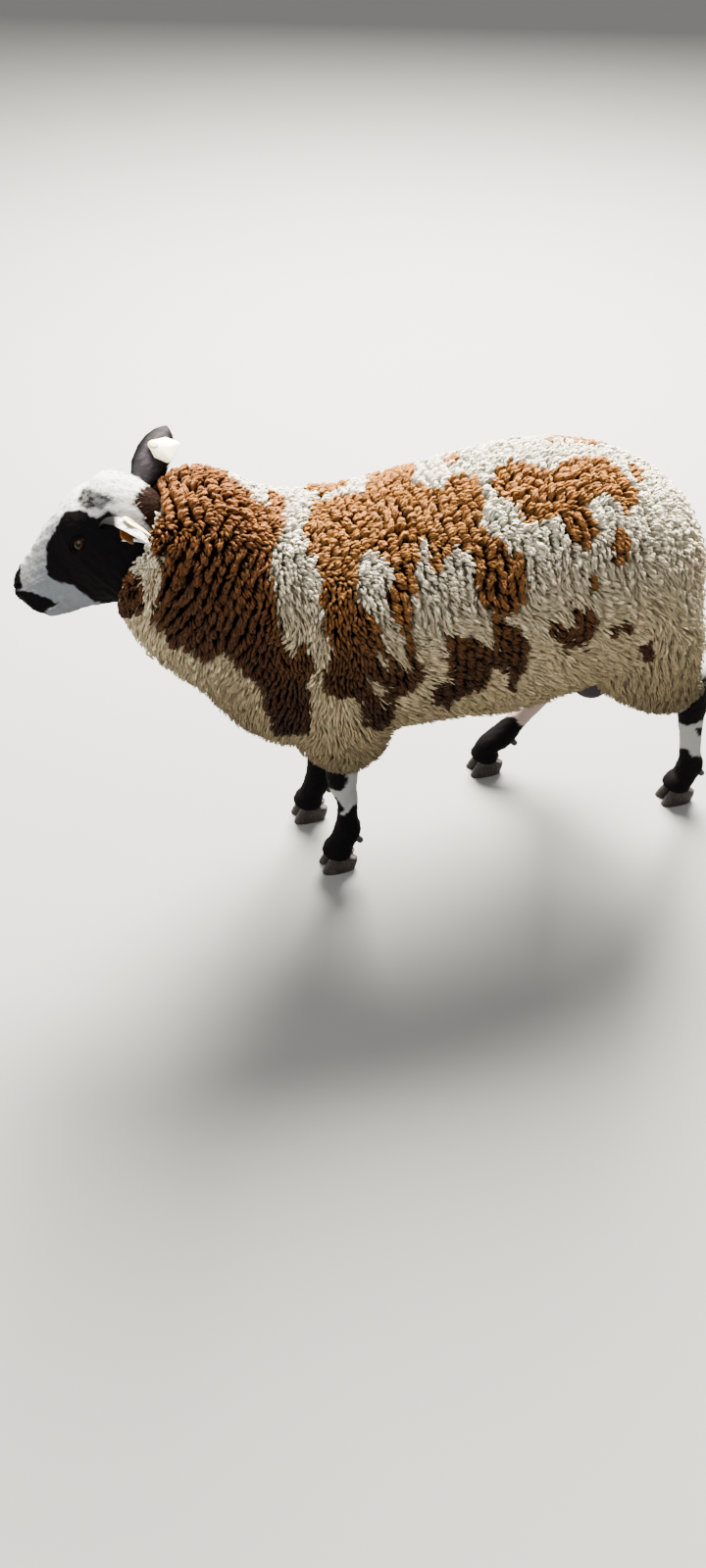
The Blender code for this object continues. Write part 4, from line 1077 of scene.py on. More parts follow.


# The wool's two colours, each mixed from a lit and a shaded copy: painted light where it faces up towards the
# key light or stands high, with some real bleaching, and painted shade where it hangs below. The neck's brown
# is redder, and the white is darker low down, most of all on the chest: painted shade, with some real dirt.
def woolColour(brown, points, normals):
    x, z = points[:, 0], points[:, 2]
    # Painted light: sky is how much the wool faces up towards the key light, and how high it stands.
    sky = smoothStep(-0.35, 0.95, normals @ unit(np.array([0.05, 0.30, 0.95])))
    sky = np.clip(0.75 * sky + 0.25 * smoothStep(0.35, 0.72, z), 0, 1)[:, None]
    neck = smoothStep(-0.17, -0.24, x)[:, None]
    tan = mix(coatColours["brownShade"], mix(coatColours["brownSun"], coatColours["neckSun"], neck), sky)
    chest = smoothStep(-0.12, -0.34, x) * smoothStep(0.64, 0.50, z)
    litAndClean = (0.28 + 0.72 * smoothStep(0.30, 0.56, z)) * (1 - 0.45 * chest)
    cream = mix(coatColours["whiteShade"], coatColours["whiteSun"], sky) * litAndClean[:, None]
    return mix(cream, tan, brown[:, None])


# The face: white, with painted shade where it turns down, and the black marks of the near side also mirrored
# onto the side hidden from the camera.
def headColour(points, normals):
    _, right, _ = headLocal(points)
    _, _, forward = cameraAxes()
    mirror = points - headRight * (2 * right)[:, None]
    hidden = (normals @ forward > -0.05) & (right > 0)
    seen = np.where(hidden[:, None], mirror, points)
    pixels = toPicture(seen) + 0.8 * shiftNoise(points, 0.012, 41)
    shares = {name: smoothStep(-1.1, 1.1, insideBy(pixels, outline)) for name, outline in blackMarks.items()}
    speckle = smoothStep(-0.15, 0.55, waveNoise(points, 0.0085, 43) + 0.5 * waveNoise(points, 0.004, 44))
    colour = mix(coatColours["faceShade"], coatColours["face"], smoothStep(-0.05, 0.90, normals[:, 2])[:, None])

    def lay(tint, share):
        return mix(colour, coatColours[tint], share[:, None])

    nostrilSpot, bridge = (27, 595), (32, 578)
    grey = smoothStep(6.5, 3.0, np.linalg.norm(pixels - nostrilSpot, axis=1))
    colour = lay("noseGrey", 0.75 * grey * (0.5 + 0.5 * speckle))
    near = smoothStep(30, 15, np.linalg.norm(pixels - bridge, axis=1))
    colour = lay("noseGrey", 0.7 * smoothStep(0.95, 1.15, waveNoise(points, 0.010, 45)) * near)
    middle = smoothStep(0.3, 3.0, insideBy(pixels, blackMarks["foreheadSpot"]))
    colour = lay("black", np.maximum(0.85 * shares["foreheadSpot"] * speckle, middle * (0.80 + 0.18 * speckle)))
    colour = lay("brownBlack", shares["behindEar"])
    for mark in ("cheek", "nose", "lips"):
        colour = lay("black", shares[mark])
    # Painted shade: the nostril and mouth grooves are coloured black.
    inner = np.zeros(len(points))
    for side in (-1, 1):
        distance, _ = nearLine(points, nostrilLine(side))
        inner = np.maximum(inner, smoothStep(0.0075, 0.0045, distance))
        distance, at = nearLine(points, mouthLine(side))
        dark = 1 - smoothStep(*mouth["darkUntil"], at)
        inner = np.maximum(inner, smoothStep(0.0024, 0.0010, distance) * dark)
    return lay("black", inner)


# An ear: white flecked back on the near side, dark at its front, and grey on the far one. Inside it is dark,
# with painted light glowing through the thin part.
def earColour(side, shape, extra):
    inside, along, rim = extra
    points = shape["vertices"]
    fleck = smoothStep(0.35, 0.75, waveNoise(points, 0.009, 51) + 0.6 * waveNoise(points, 0.004, 52))[:, None]
    if side < 0:
        back = mix(coatColours["face"], coatColours["brownBlack"], 0.75 * fleck)
        rimColour = coatColours["face"]
    else:
        middle = smoothStep(0.8, 0.2, rim)[:, None] * (0.55 + 0.45 * fleck)
        back = mix(coatColours["black"], coatColours["earGrey"], middle)
        rimColour = coatColours["black"]
    # Painted light: a glow shining through the thin part of the cup.
    paintedGlow = smoothStep(0.75, 0.25, rim) * smoothStep(0.15, 0.4, along) * smoothStep(0.95, 0.7, along)
    cup = mix(coatColours["brownBlack"], coatColours["earPaintedGlow"], paintedGlow[:, None])
    colour = mix(mix(back, cup, inside[:, None]), rimColour, smoothStep(0.84, 0.95, rim)[:, None])
    if side > 0:
        return colour
    whiteFrom, blackTo = 125, 116  # across the picture
    return mix(colour, coatColours["black"], smoothStep(whiteFrom, blackTo, toPicture(points)[:, 0])[:, None])


# A bare leg: white, or pinker on the far hind leg, with its black marks, and black down from the fetlock.
def legColour(name, points):
    pixels = toPicture(points) + 0.8 * shiftNoise(points, 0.015, 61)
    black = smoothStep(-0.8, 0.8, insideAny(pixels, legBlackMarks[name]))
    low = smoothStep(0.105, 0.095, points[:, 2] + 0.004 * waveNoise(points, 0.02, 63))
    # Painted shade: the bare legs' white is much darker than the face's, as they stand under the body.
    ground = coatColours["face"] * 0.46
    if name == "hindleg_right":
        ground = coatColours["pink"] * 0.3 + coatColours["face"] * 0.2
    return mix(ground, coatColours["black"], np.maximum(black, low)[:, None])


# What a user would change about the fleece. A colour is read at the height seenAt over a root, so that the
# patches are where the picture has them.
coat = {
    "scattered": 900000,
    "spacing": 0.0033,
    "curls": {
        "kind": "curl",
        "length": 0.0315,
        "radius": 0.0022,
        "bend": (0.58, 0.66),
        "startAngle": 0.08,
        "endAngle": (2.1, 3.0),
        "blunt": 1.0,
        "sway": 0.0010,
    },
    "wisps": {
        "kind": "wool",
        "length": 0.031,
        "radius": 0.0015,
        "bend": (0.05, 0.20),
        "startAngle": 0.10,
        "endAngle": (1.35, 1.7),
        "blunt": 0.10,
        "sway": 0.0020,
    },
    "columnWidth": 0.0145,
    "tuftHeight": 0.0110,
    "seenAt": 0.015,
    "gather": 0.42,
    "parting": 0.085,
    "partingDepth": 0.24,
    "seed": 7,
}


# Makes the skin

coreShape, coreNormals = woolCore()
print("core:", len(coreShape["vertices"]), "points")
coreBrown = brownShare(coreShape["vertices"] + coreNormals * coat["seenAt"], coreNormals)
# Painted shade: the skin under the fleece is darker than the wool, most of all under brown, for the gaps
# between locks.
coreGapShade = (0.70 - 0.60 * coreBrown)[:, None]
coreShape["coatColour"] = woolColour(coreBrown, coreShape["vertices"], coreNormals) * coreGapShade


# The scrotum and the tip of the sheath are bare and dark.
def bareBelly(points):
    x, y, z = points.T
    scrotum = smoothStep(0.066, 0.054, np.hypot(x - 0.368, y)) * smoothStep(0.375, 0.355, z)
    sheath = smoothStep(0.034, 0.022, np.hypot(x - 0.140, y)) * smoothStep(0.325, 0.315, z)
    return np.maximum(scrotum, sheath)[:, None]


coreBare = bareBelly(coreShape["vertices"])
coreShape["coatColour"] = mix(coreShape["coatColour"], coatColours["noseGrey"] * 0.25, coreBare)


# The normal of each triangle, as long as twice its area.
def faceNormals(v, corners):
    first, second, third = [v[corners[:, k]] for k in range(3)]
    return np.cross(second - first, third - first)


# Normals of a shape's points: the sum of the normals of the faces round each one.
def pointNormals(shape):
    v, corners = shape["vertices"], asTriangles(shape)
    face = faceNormals(v, corners)
    total = np.zeros_like(v)
    for k in range(3):
        for axis in range(3):
            total[:, axis] += np.bincount(corners[:, k], face[:, axis], len(v))
    return unit(total)


headSkin = headShape()
aroundEyes = headPoints(np.linspace(0.40, 0.85, 130)[:, None], np.linspace(0, 2 * math.pi, 400)[None])
lids = [lidShape(side, aroundEyes.reshape(-1, 3)) for side in (-1, 1)]
headNormals = pointNormals(headSkin)
headSkin["coatColour"] = headColour(headSkin["vertices"], headNormals)
for lid in lids:
    lid["coatColour"] = headColour(lid["vertices"], pointNormals(lid))
ears = {}
for side in (-1, 1):
    shape, extra = earShape(side)
    shape["coatColour"] = earColour(side, shape, extra)
    ears[side] = shape
bareLegs = {}
for name in feet:
    rows = legRows(name)
    shape = tubeShape(tubeGrid(rows, 90, 40, (0.020, 0.010), steps=8))
    ripple = 0.0005 * waveNoise(shape["vertices"], 0.012, 71)
    shape["vertices"] = shape["vertices"] + pointNormals(shape) * ripple[:, None]
    shape["coatColour"] = legColour(name, shape["vertices"])
    bareLegs[name] = shape
skinShape = joinShapes([coreShape, headSkin, *lids, *ears.values(), *bareLegs.values()])
fleshNodes = [
    "torso", "neck", "tail", "shoulder_left", "shoulder_right", "thigh_left", "thigh_right",
    "scrotum", "sheath", "head", "ear_left", "ear_right", *feet,
]
makePiece("skin", skinShape, hairMaterial, fleshNodes)
print("skin made:", len(skinShape["quads"]) * 2 + len(skinShape["triangles"]), "triangles")

for side, label in ((-1, "left"), (1, "right")):
    makePiece(f"eyeball_{label}", eyeShape(side), eyeMaterial, [f"eye_{label}"])
print("eyes made")


# The fleece


# Points spread by area over a shape, each with the normal there: a random triangle by its area, then a random
# place inside it.
def scatter(shape, normals, count, random):
    v, corners = shape["vertices"], asTriangles(shape)
    area = np.linalg.norm(faceNormals(v, corners), axis=1)
    pick = corners[random.choice(len(area), count, p=area / area.sum())]
    a, b = random.random((2, count, 1))
    flip = a + b > 1
    a, b = np.where(flip, 1 - a, a), np.where(flip, 1 - b, b)
    shares = (1 - a - b, a, b)
    points, directions = [sum(field[pick[:, k]] * shares[k] for k in range(3)) for field in (v, normals)]
    return points, unit(directions)


# Picks points about the wanted spacing apart: one is kept in each cell of that size, and of two that lie too
# close together in cells that touch, the later one goes. A cell's key holds its three numbers in bits of
# their own.
def thinOut(points, spacing):
    bits, least = 13, 0.66
    cells = np.floor(points / spacing).astype(np.int64) + 2 ** (bits - 1)
    key = (cells[:, 0] << 2 * bits) + (cells[:, 1] << bits) + cells[:, 2]
    _, first = np.unique(key, return_index=True)
    first = np.sort(first)
    kept, keptKey = points[first], key[first]
    order = np.argsort(keptKey)
    sortedKey = keptKey[order]
    stays = np.ones(len(first), bool)
    steps = [(x, y, z) for x in (-1, 0, 1) for y in (-1, 0, 1) for z in (-1, 0, 1) if (x, y, z) != (0, 0, 0)]
    for x, y, z in steps:
        wanted = keptKey + (x << 2 * bits) + (y << bits) + z
        at = np.clip(np.searchsorted(sortedKey, wanted), 0, len(order) - 1)
        other = order[at]
        close = (sortedKey[at] == wanted) & (np.linalg.norm(kept - kept[other], axis=1) < least * spacing)
        stays &= ~(close & (other < np.arange(len(first))))
    return first[stays]


# Locks are tubes of a few rings that close on a tip. Stations are the rings' shares of a lock's length, and
# blunt and pointed are the two profiles of their radius, mixed for each lock.
lockRings = {
    "curl": {
        "stations": (0.0, 0.62, 0.77, 0.90),
        "blunt": (0.75, 0.95, 1.08, 0.85),
        "pointed": (0.8, 1.0, 0.9, 0.5),
    },
    "wool": {"stations": (0.0, 0.52, 0.84), "blunt": (0.85, 1.05, 0.85), "pointed": (0.9, 0.95, 0.50)},
    "hair": {"stations": (0.0, 0.40, 0.78), "blunt": (0.9, 1.0, 0.7), "pointed": (1.0, 0.8, 0.45)},
}
lockSides = 3
lockSink = 0.003  # how far a lock starts under the skin
pieceLimit = 190000  # triangles
patchSize = 0.003  # of a lock on the unwrap


# The middle line leaves the skin along the normal. Its direction is normal * cos(a) + lie * sin(a), and from
# the share of its length where it bends, a runs from the start angle to the end angle. The line is also drawn
# sideways by gather * share squared and sways by a sine wave.
def growLocks(roots, normals, form, kind, random):
    profile, sides = lockRings[kind], lockSides
    count, rings = len(roots), len(profile["stations"])
    lies = form["lies"]
    bend, startAngle, endAngle, blunt, sway, radius = [
        form[key][:, None] for key in ("bend", "startAngle", "endAngle", "blunt", "sway", "radius")
    ]
    t = np.append(profile["stations"], 1.0)
    across = np.cross(normals, lies)

    def angleAt(share):
        turned = np.clip((share - bend) / (1 - bend), 0, 1)
        return (startAngle + (endAngle - startAngle) * turned)[..., None]

    angle = angleAt((t[1:] + t[:-1]) / 2)
    steps = normals[:, None] * np.cos(angle) + lies[:, None] * np.sin(angle)
    steps = steps * (np.diff(t)[:, None] * form["length"][:, None, None])
    start = (roots - normals * lockSink)[:, None]
    middle = np.concatenate([start, start + np.cumsum(steps, axis=1)], axis=1)
    wave = np.sin(t[None] * random.uniform(3.5, 6.5, (count, 1)) + random.uniform(0, 2 * math.pi, (count, 1)))
    middle = middle + across[:, None] * (sway * t[None] * wave)[..., None]
    middle = middle + form["gather"][:, None] * (t**2)[:, None]
    angle = angleAt(t[:-1])
    facing = lies[:, None] * np.cos(angle) - normals[:, None] * np.sin(angle)
    size = mix(np.array(profile["pointed"]), np.array(profile["blunt"]), blunt)
    size = radius * size * random.uniform(0.93, 1.07, (count, rings))
    turn = fullTurn(sides) + random.uniform(0, 2 * math.pi, (count, 1))
    cos, sin = np.cos(turn)[:, None, :, None], np.sin(turn)[:, None, :, None]
    reach = across[:, None, None] * cos + facing[:, :, None] * sin
    ring = middle[:, :-1, None] + reach * size[..., None, None]
    vertices = np.concatenate([ring.reshape(count, rings * sides, 3), middle[:, -1:]], axis=1)
    each = rings * sides + 1
    first = (np.arange(count) * each)[:, None, None]
    j = np.arange(sides)
    last = (rings - 1) * sides
    tips = np.stack([last + j, last + (j + 1) % sides, np.full(sides, each - 1)], -1)[None] + first
    tip = np.tile(np.append(np.repeat(t[:-1], sides), 1.0), (count, 1))
    around = np.append(np.tile(j / sides, rings), 0.5)[None] + 0 * tip
    shape = {
        "vertices": vertices.reshape(-1, 3),
        "quads": (ringQuads(rings, sides)[None] + first).reshape(-1, 4),
        "triangles": tips.reshape(-1, 3),
        "bases": (j[::-1] + first[:, 0]).reshape(count, sides),
        "tip": tip.ravel(),
    }
    return shape, each, around, tip


# The unwrap's areas: left, bottom, width and height, and how far the legs' are apart.
unwrapAreas = {
    "body": (0.01, 0.01, 0.71, 0.97),
    "head": (0.75, 0.02, 0.23, 0.40),
    "leg": (0.75, 0.46, 0.23, 0.11),
}
unwrapLegStep = 0.13


# A flat place for each root on an unwrap of the skin: the body by its length and the angle round its own
# middle line, the legs by height and the angle round theirs, and the head by its share and angle.
def unwrapSkin(points, part):
    x, y, z = points.T
    left, low, width, height = unwrapAreas["leg" if part in feet else part]
    if part == "head":
        along, right, up = headLocal(points)
        run, turn = along / headLength, np.arctan2(up, right)
    elif part in feet:
        rows = np.array(legRows(part))
        middle = np.interp(-z, -rows[:, 2], rows[:, 0])
        low = low + unwrapLegStep * list(feet).index(part)
        run, turn = z / 0.4, np.arctan2(y - feet[part]["foot"][1], x - middle)
    else:
        spine = np.interp(x, (-0.42, -0.25, -0.05, 0.50), (0.70, 0.58, 0.505, 0.50))
        run, turn = (x + 0.45) / 1.08, np.arctan2(z - spine, y)
    return np.stack([left + width * np.clip(run, 0, 1), low + height * (turn / (2 * math.pi) + 0.5)], -1)


# Puts locks into pieces of limited size, each with its root's colour, fibre map and patch on the unwrap. The
# glow raises the tip value, from which the material paints shade at the root: painted light through white wool.
def addLocks(name, roots, normals, colours, paintedGlow, kind, part, random, form):
    rings = len(lockRings[kind]["stations"])
    perLock = 2 * rings * lockSides - 2
    order = np.argsort(roots[:, 0])
    chunks = np.array_split(order, math.ceil(len(order) * perLock / pieceLimit))
    for number, chunk in enumerate(chunks, 1):
        values = {key: value[chunk] for key, value in form.items()}
        shape, each, around, tip = growLocks(roots[chunk], normals[chunk], values, kind, random)
        shape["coatColour"] = np.repeat(colours[chunk], each, axis=0)
        shape["tip"] = shape["tip"] + (1 - shape["tip"]) * np.repeat(paintedGlow[chunk], each)
        offset = random.uniform(0, 40, (len(chunk), 1))
        shape["uv_fibre"] = np.stack([around + offset, tip + offset], -1).reshape(-1, 2)
        place = unwrapSkin(roots[chunk], part)[:, None] + patchSize * (np.stack([around, tip], -1) - 0.5)
        shape["uv_OFBake"] = place.reshape(-1, 2)
        label = name if len(chunks) == 1 else f"{name}_{number}"
        makePiece(label, shape, hairMaterial if kind == "hair" else woolMaterial)
    print(name, len(roots), "locks in", len(chunks), "pieces,", len(roots) * perLock, "triangles")


# How curly the fleece is at each root, from 0 (soft wisps low on the flank, chest and legs) to 1.
def curliness(points):
    x, z = points[:, 0], points[:, 2]
    stations = (-0.40, -0.30, -0.20, -0.10, 0.10, 0.30, 0.42, 0.55)
    limit = np.interp(x, stations, (0.57, 0.50, 0.50, 0.53, 0.55, 0.55, 0.48, 0.42))
    return smoothStep(-0.05, 0.05, z - limit + 0.03 * waveNoise(points, 0.10, 81))


# Which way the wool lies: down on the neck, chest and thigh, back along the flank, turned a bit in each tuft.
def lieOfWool(points, normals, swing):
    x, z = points[:, 0], points[:, 2]
    flank = smoothStep(-0.16, -0.02, x) * smoothStep(0.40, 0.28, x) * smoothStep(0.66, 0.52, z)
    neck = smoothStep(-0.10, -0.22, x)
    lie = np.stack([0.10 - 0.35 * neck + 1.5 * flank, 0 * x, -1.0 + 0.60 * flank], -1)
    lie = lie + smoothStep(0.60, 0.92, normals[:, 2])[:, None] * np.array([0.9, 0.0, 1.0])
    lie = inSurface(lie, normals)
    swing = swing + 0.5 * waveNoise(points, 0.06, 82)
    return lie * np.cos(swing)[:, None] + np.cross(normals, lie) * np.sin(swing)[:, None]


# The tufts: cells that stand in upright columns, leant with the neck. Each root goes to the nearest of the
# jittered middles of the nine cells about it. Given are the way to that middle, the distance to it as a share
# of a cell, its sideways part, and four random numbers of that tuft. Cells lie across the axis that the
# normal is nearest to.
def findTufts(points, normals, random):
    x, y, z = points.T
    lean = 0.56 * smoothStep(-0.06, -0.25, x)
    rise = np.sqrt(1 - lean**2)
    zero = 0 * x
    facing = np.abs(normals + 0.12 * random.normal(0, 1, normals.shape)) * (1.0, 1.25, 0.9)
    main = facing.argmax(1)[:, None]

    def byAxis(alongX, alongY, alongZ):
        return np.where(main == 0, alongX, np.where(main == 1, alongY, alongZ))

    leant = np.stack([rise * x - lean * z, lean * x + rise * z], -1)
    flat = byAxis(np.stack([y, z], -1), leant, np.stack([x, y], -1))
    axis1 = inSurface(byAxis((0.0, 1.0, 0.0), np.stack([rise, zero, -lean], -1), (1.0, 0.0, 0.0)), normals)
    axis2 = inSurface(byAxis((0.0, 0.0, 1.0), np.stack([lean, zero, rise], -1), (0.0, 1.0, 0.0)), normals)
    size = np.array([coat["columnWidth"], coat["tuftHeight"]])
    warp = np.stack([0.0035 * waveNoise(points, 0.10, 83), 0.004 * waveNoise(points, 0.05, 85)], -1)
    cells = (flat + warp) / size
    tableSize, sheetStep = 64, 17
    table = np.random.default_rng(coat["seed"] + 1).random((6, tableSize, tableSize))
    best, way = np.full(len(x), 9.0), np.zeros((len(x), 2))
    chosen = np.zeros((len(x), 2), int)
    for i in (-1, 0, 1):
        for j in (-1, 0, 1):
            cell = np.floor(cells).astype(int) + (i, j)
            u, v = cell[:, 0] % tableSize, (cell[:, 1] + sheetStep * main[:, 0]) % tableSize
            middle = cell + 0.5 + np.stack([0.34 * (table[0, u, v] - 0.5), 0.75 * (table[1, u, v] - 0.5)], -1)
            offset = middle - cells
            distance = np.linalg.norm(offset, axis=1)
            nearer = distance < best
            best = np.where(nearer, distance, best)
            way = np.where(nearer[:, None], offset, way)
            chosen = np.where(nearer[:, None], np.stack([u, v], -1), chosen)
    towards = axis1 * (way[:, :1] * size[0]) + axis2 * (way[:, 1:] * size[1])
    return towards, best, np.abs(way[:, 0]), table[2:, chosen[:, 0], chosen[:, 1]]


# How far forward the neck's wool reaches at each height.
def woolFront(z):
    return np.interp(z, (0.60, 0.72), (-0.440, -0.392))


# Keeps the roots that may carry wool: outside the head, behind the wool's front edge, clear of the ears,
# above the line where each leg turns bare, and off the scrotum.
def woolKept(points):
    x, y, z = points.T
    kept = (x > woolFront(z) - 0.004) & (headDepth(points) > 1.0) & (earGap(points) > 0.017)
    kept &= ~((x < 0.05) & (z < 0.272))
    for name in ("hindleg_left", "hindleg_right"):
        hockZ = feet[name]["hock"][1]
        near = (x > 0.20) & (np.sign(feet[name]["foot"][1]) == np.sign(y)) & (z < 0.40)
        kept &= ~(near & (z < hockZ + 0.034))
    scrotum = (np.abs(y) < 0.055) & (np.abs(x - 0.368) < 0.048) & (z < 0.375)
    return kept & ~scrotum


# Distance from each point to the nearer ear's line.
def earGap(points):
    nearest = np.full(len(points), 1.0)
    for side in (-1, 1):
        root, along, _, _ = earFrame(side)
        line = root + along * np.linspace(-0.1, 1.1, 12)[:, None] * ear["length"]
        nearest = np.minimum(nearest, nearLine(points, line)[0])
    return nearest


# Scatters roots over the core, sorts them into curls and wisps, and grows both. White wool curls less on the
# sides. Roots near the edge of a column are left out, which parts the fleece into upright ribs, and the locks
# beside them are shorter and painted darker: painted shade in the partings.
def makeFleece():
    random = np.random.default_rng(coat["seed"])
    points, normals = scatter(coreShape, coreNormals, coat["scattered"], random)
    picked = thinOut(points, coat["spacing"])
    picked = picked[woolKept(points[picked])]
    points, normals = points[picked], normals[picked]
    count = len(points)
    x, z = points[:, 0], points[:, 2]
    brown = (brownShare(points + normals * coat["seenAt"], normals) > random.random(count)).astype(float)
    side = smoothStep(0.80, 0.40, np.abs(normals[:, 2]))
    curl = np.maximum(brown, curliness(points) * (1 - 0.92 * side * (1 - brown) * smoothStep(0.77, 0.66, z)))
    towards, distance, sideways, (turn, tone, tall, hook) = findTufts(points, normals, random)
    swing = (turn - 0.5) * (0.5 + 0.9 * curl) * (1 - 0.55 * side) + random.normal(0, 0.13, count)
    lies = lieOfWool(points, normals, swing)
    edge = np.maximum(0.65 * smoothStep(0.30, 0.62, distance), smoothStep(0.22, 0.42, sideways))
    legs = 0.70 + 0.30 * smoothStep(0.30, 0.38, z)
    under = 1 - 0.25 * smoothStep(-0.5, -0.9, normals[:, 2])
    clear = 0.40 + 0.60 * smoothStep(0.016, 0.042, earGap(points))
    front = 0.50 + 0.50 * smoothStep(0.0, 0.045, x - woolFront(z))
    tallness = clear * front * legs * under * (1 + 0.06 * waveNoise(points, 0.045, 84)) * (0.95 + 0.10 * tall)
    tallness = tallness * (1 - coat["partingDepth"] * edge)
    toneAndCreaseShade = random.uniform(0.93, 1.07, count) * (0.88 + 0.24 * tone)
    thigh = (1 - brown) * smoothStep(0.26, 0.36, x) * side
    # Painted shade: locks beside a parting are darker, most of all on brown wool and the white thigh.
    toneAndCreaseShade = toneAndCreaseShade * (1 - (0.14 + 0.42 * brown + 0.34 * thigh) * edge)
    colours = woolColour(brown, points, normals) * toneAndCreaseShade[:, None]
    gap = coat["parting"] * (0.5 + 0.5 * curl) * (0.18 + 0.82 * brown) * (1 + 0.35 * smoothStep(0.0, -0.2, x))
    parted = sideways > 0.5 - gap
    tight = curl > random.random(count)

    # The chosen roots as one kind of lock. A curl hooks over as far as its tuft does, and a wisp at random.
    def grow(name, chosen):
        look, some = coat[name], chosen.sum()
        tint = colours[chosen] * (1 + 0.03 * random.normal(0, 1, (some, 3)))
        form = {
            "lies": lies[chosen],
            "gather": towards[chosen] * coat["gather"],
            "length": look["length"] * tallness[chosen] * random.uniform(0.96, 1.04, some),
            "radius": look["radius"] * random.uniform(0.85, 1.15, some),
            "bend": random.uniform(*look["bend"], some),
            "startAngle": np.full(some, look["startAngle"]),
        }
        least, most = look["endAngle"]
        form["endAngle"] = least + (most - least) * (hook[chosen] if name == "curls" else random.random(some))
        form["blunt"] = np.full(some, look["blunt"])
        form["sway"] = random.uniform(0.0, look["sway"], some)
        # Painted light: the roots of white wool are painted lighter, as if light came through it.
        paintedGlow = 0.85 * (1 - brown[chosen])
        roots, outward = points[chosen], normals[chosen]
        addLocks(name, roots, outward, tint, paintedGlow, look["kind"], "body", random, form)

    grow("curls", tight & ~parted)
    grow("wisps", ~tight & (~parted | (curl < 0.15)))


makeFleece()


# Short tufts where the hair breaks the outline


hairTufts = {
    "scattered": 70000,
    "headSpacing": 0.0034,
    "legSpacing": 0.0052,
    "length": 0.0085,
    "legLength": 0.0045,
    "fetlockMore": 0.004,
    "radius": 0.00055,
    "seed": 9,
}


# Flat-lying tufts over a shape. Lie is the way they point, and keep, long and colouring give for each root
# whether it stays, its length and its colour.
def addHair(name, shape, normals, part, spacing, keep, lie, long, colouring, random):
    points, outward = scatter(shape, normals, hairTufts["scattered"], random)
    picked = thinOut(points, spacing)
    points, outward = points[picked], outward[picked]
    clear = keep(points)
    points, outward = points[clear], outward[clear]
    count = len(points)
    lies = inSurface(lie + 0.22 * random.normal(0, 1, (count, 3)), outward)
    form = {
        "lies": lies,
        "gather": np.zeros((count, 3)),
        "length": long(points) * random.uniform(0.7, 1.25, count),
        "radius": hairTufts["radius"] * random.uniform(0.7, 1.3, count),
        "bend": np.full(count, 0.0),
        "startAngle": random.uniform(0.95, 1.15, count),
        "endAngle": random.uniform(1.40, 1.60, count),
        "blunt": np.full(count, 0.2),
        "sway": np.full(count, 0.0004),
    }
    colours = colouring(points, outward) * random.uniform(0.85, 1.15, (count, 1))
    addLocks(name, points, outward, colours, np.zeros(count), "hair", part, random, form)


# Clear of the eyes, nostrils, lips and muzzle.
def headHairKept(points):
    along, _, _ = headLocal(points)
    kept = along > 0.24 * headLength
    for side in (-1, 1):
        kept &= np.linalg.norm(points - eyeFrame(side)[0], axis=1) > 0.026
        kept &= nearLine(points, mouthLine(side))[0] > 0.006
    return kept


# Longest on the poll, where it stands in a small crest.
def headHairLength(points):
    along, _, up = headLocal(points)
    share = along / headLength
    poll = smoothStep(0.70, 0.92, share) * smoothStep(0.0, 0.05, up)
    return hairTufts["length"] * (0.35 + 0.60 * smoothStep(0.35, 0.95, share) + 0.4 * poll)


# Longer round the fetlock.
def legHairLength(points):
    fetlock = np.exp(-(((points[:, 2] - 0.08) / 0.02) ** 2))
    return hairTufts["legLength"] + hairTufts["fetlockMore"] * fetlock


def makeHair():
    random = np.random.default_rng(hairTufts["seed"])
    addHair(
        "hair_head", headSkin, headNormals, "head", hairTufts["headSpacing"], headHairKept,
        headBack - headUp * 0.35, headHairLength, headColour, random,
    )
    for name, shape in bareLegs.items():
        addHair(
            f"hair_{name}", shape, pointNormals(shape), name, hairTufts["legSpacing"],
            lambda points: points[:, 2] > 0.045, np.array([0.25, 0.0, -1.0]), legHairLength,
            lambda points, outward, name=name: legColour(name, points), random,
        )


makeHair()


# A turned part about an axis, from pairs of distance along it and radius. Its points start square to beside.
def turnedShape(centre, axis, profile, beside, sides):
    across = unit(np.cross(axis, beside))
    turn = fullTurn(sides)[:, None]
    ring = across * np.cos(turn) + np.cross(axis, across) * np.sin(turn)
    far, size = np.array(profile).T
    return tubeShape(centre + axis * far[:, None, None] + ring[None] * size[:, None, None], pointed=False)


# Hooves

hoof = {"length": 0.060, "height": 0.042, "clawWidth": 0.0235, "cleft": 0.0030}

# A claw's levels: share of its height, size of its outline, and how far the outline is set back.
clawLevels = np.array([(0.0, 1.00, 0.000), (0.30, 0.96, 0.004), (0.70, 0.86, 0.010), (1.0, 0.72, 0.015)])


# One half of a cloven hoof: an oval outline that shrinks and steps back as it rises, flat below, straight in
# the cleft and lower at the heel, with faint growth rings.
def clawShape(foot, side):
    x, y = foot
    level = np.concatenate([[0.0, 0.0], np.linspace(0.02, 1.0, 26), [1.0]])
    inset = np.concatenate([[0.90], np.full(27, 1.0), [0.80]])
    size, back = [np.interp(level, clawLevels[:, 0], clawLevels[:, k]) for k in (1, 2)]
    rings = 1 + 0.010 * np.sin(level * 34) * (level > 0.03)
    size = (size * inset * rings)[:, None]
    fan, rise = oval((np.arange(48) + 0.5) * 2 * math.pi / 48, 2.6)
    along = x - 0.020 + back[:, None] + fan * hoof["length"] / 2 * size
    wide = hoof["clawWidth"] * size / 2 * (1 + rise)
    height = hoof["height"] * level[:, None] * (1 - 0.25 * (fan + 1))
    return tubeShape(np.stack([along, y + side * (hoof["cleft"] / 2 + wide), height], -1), pointed=False)


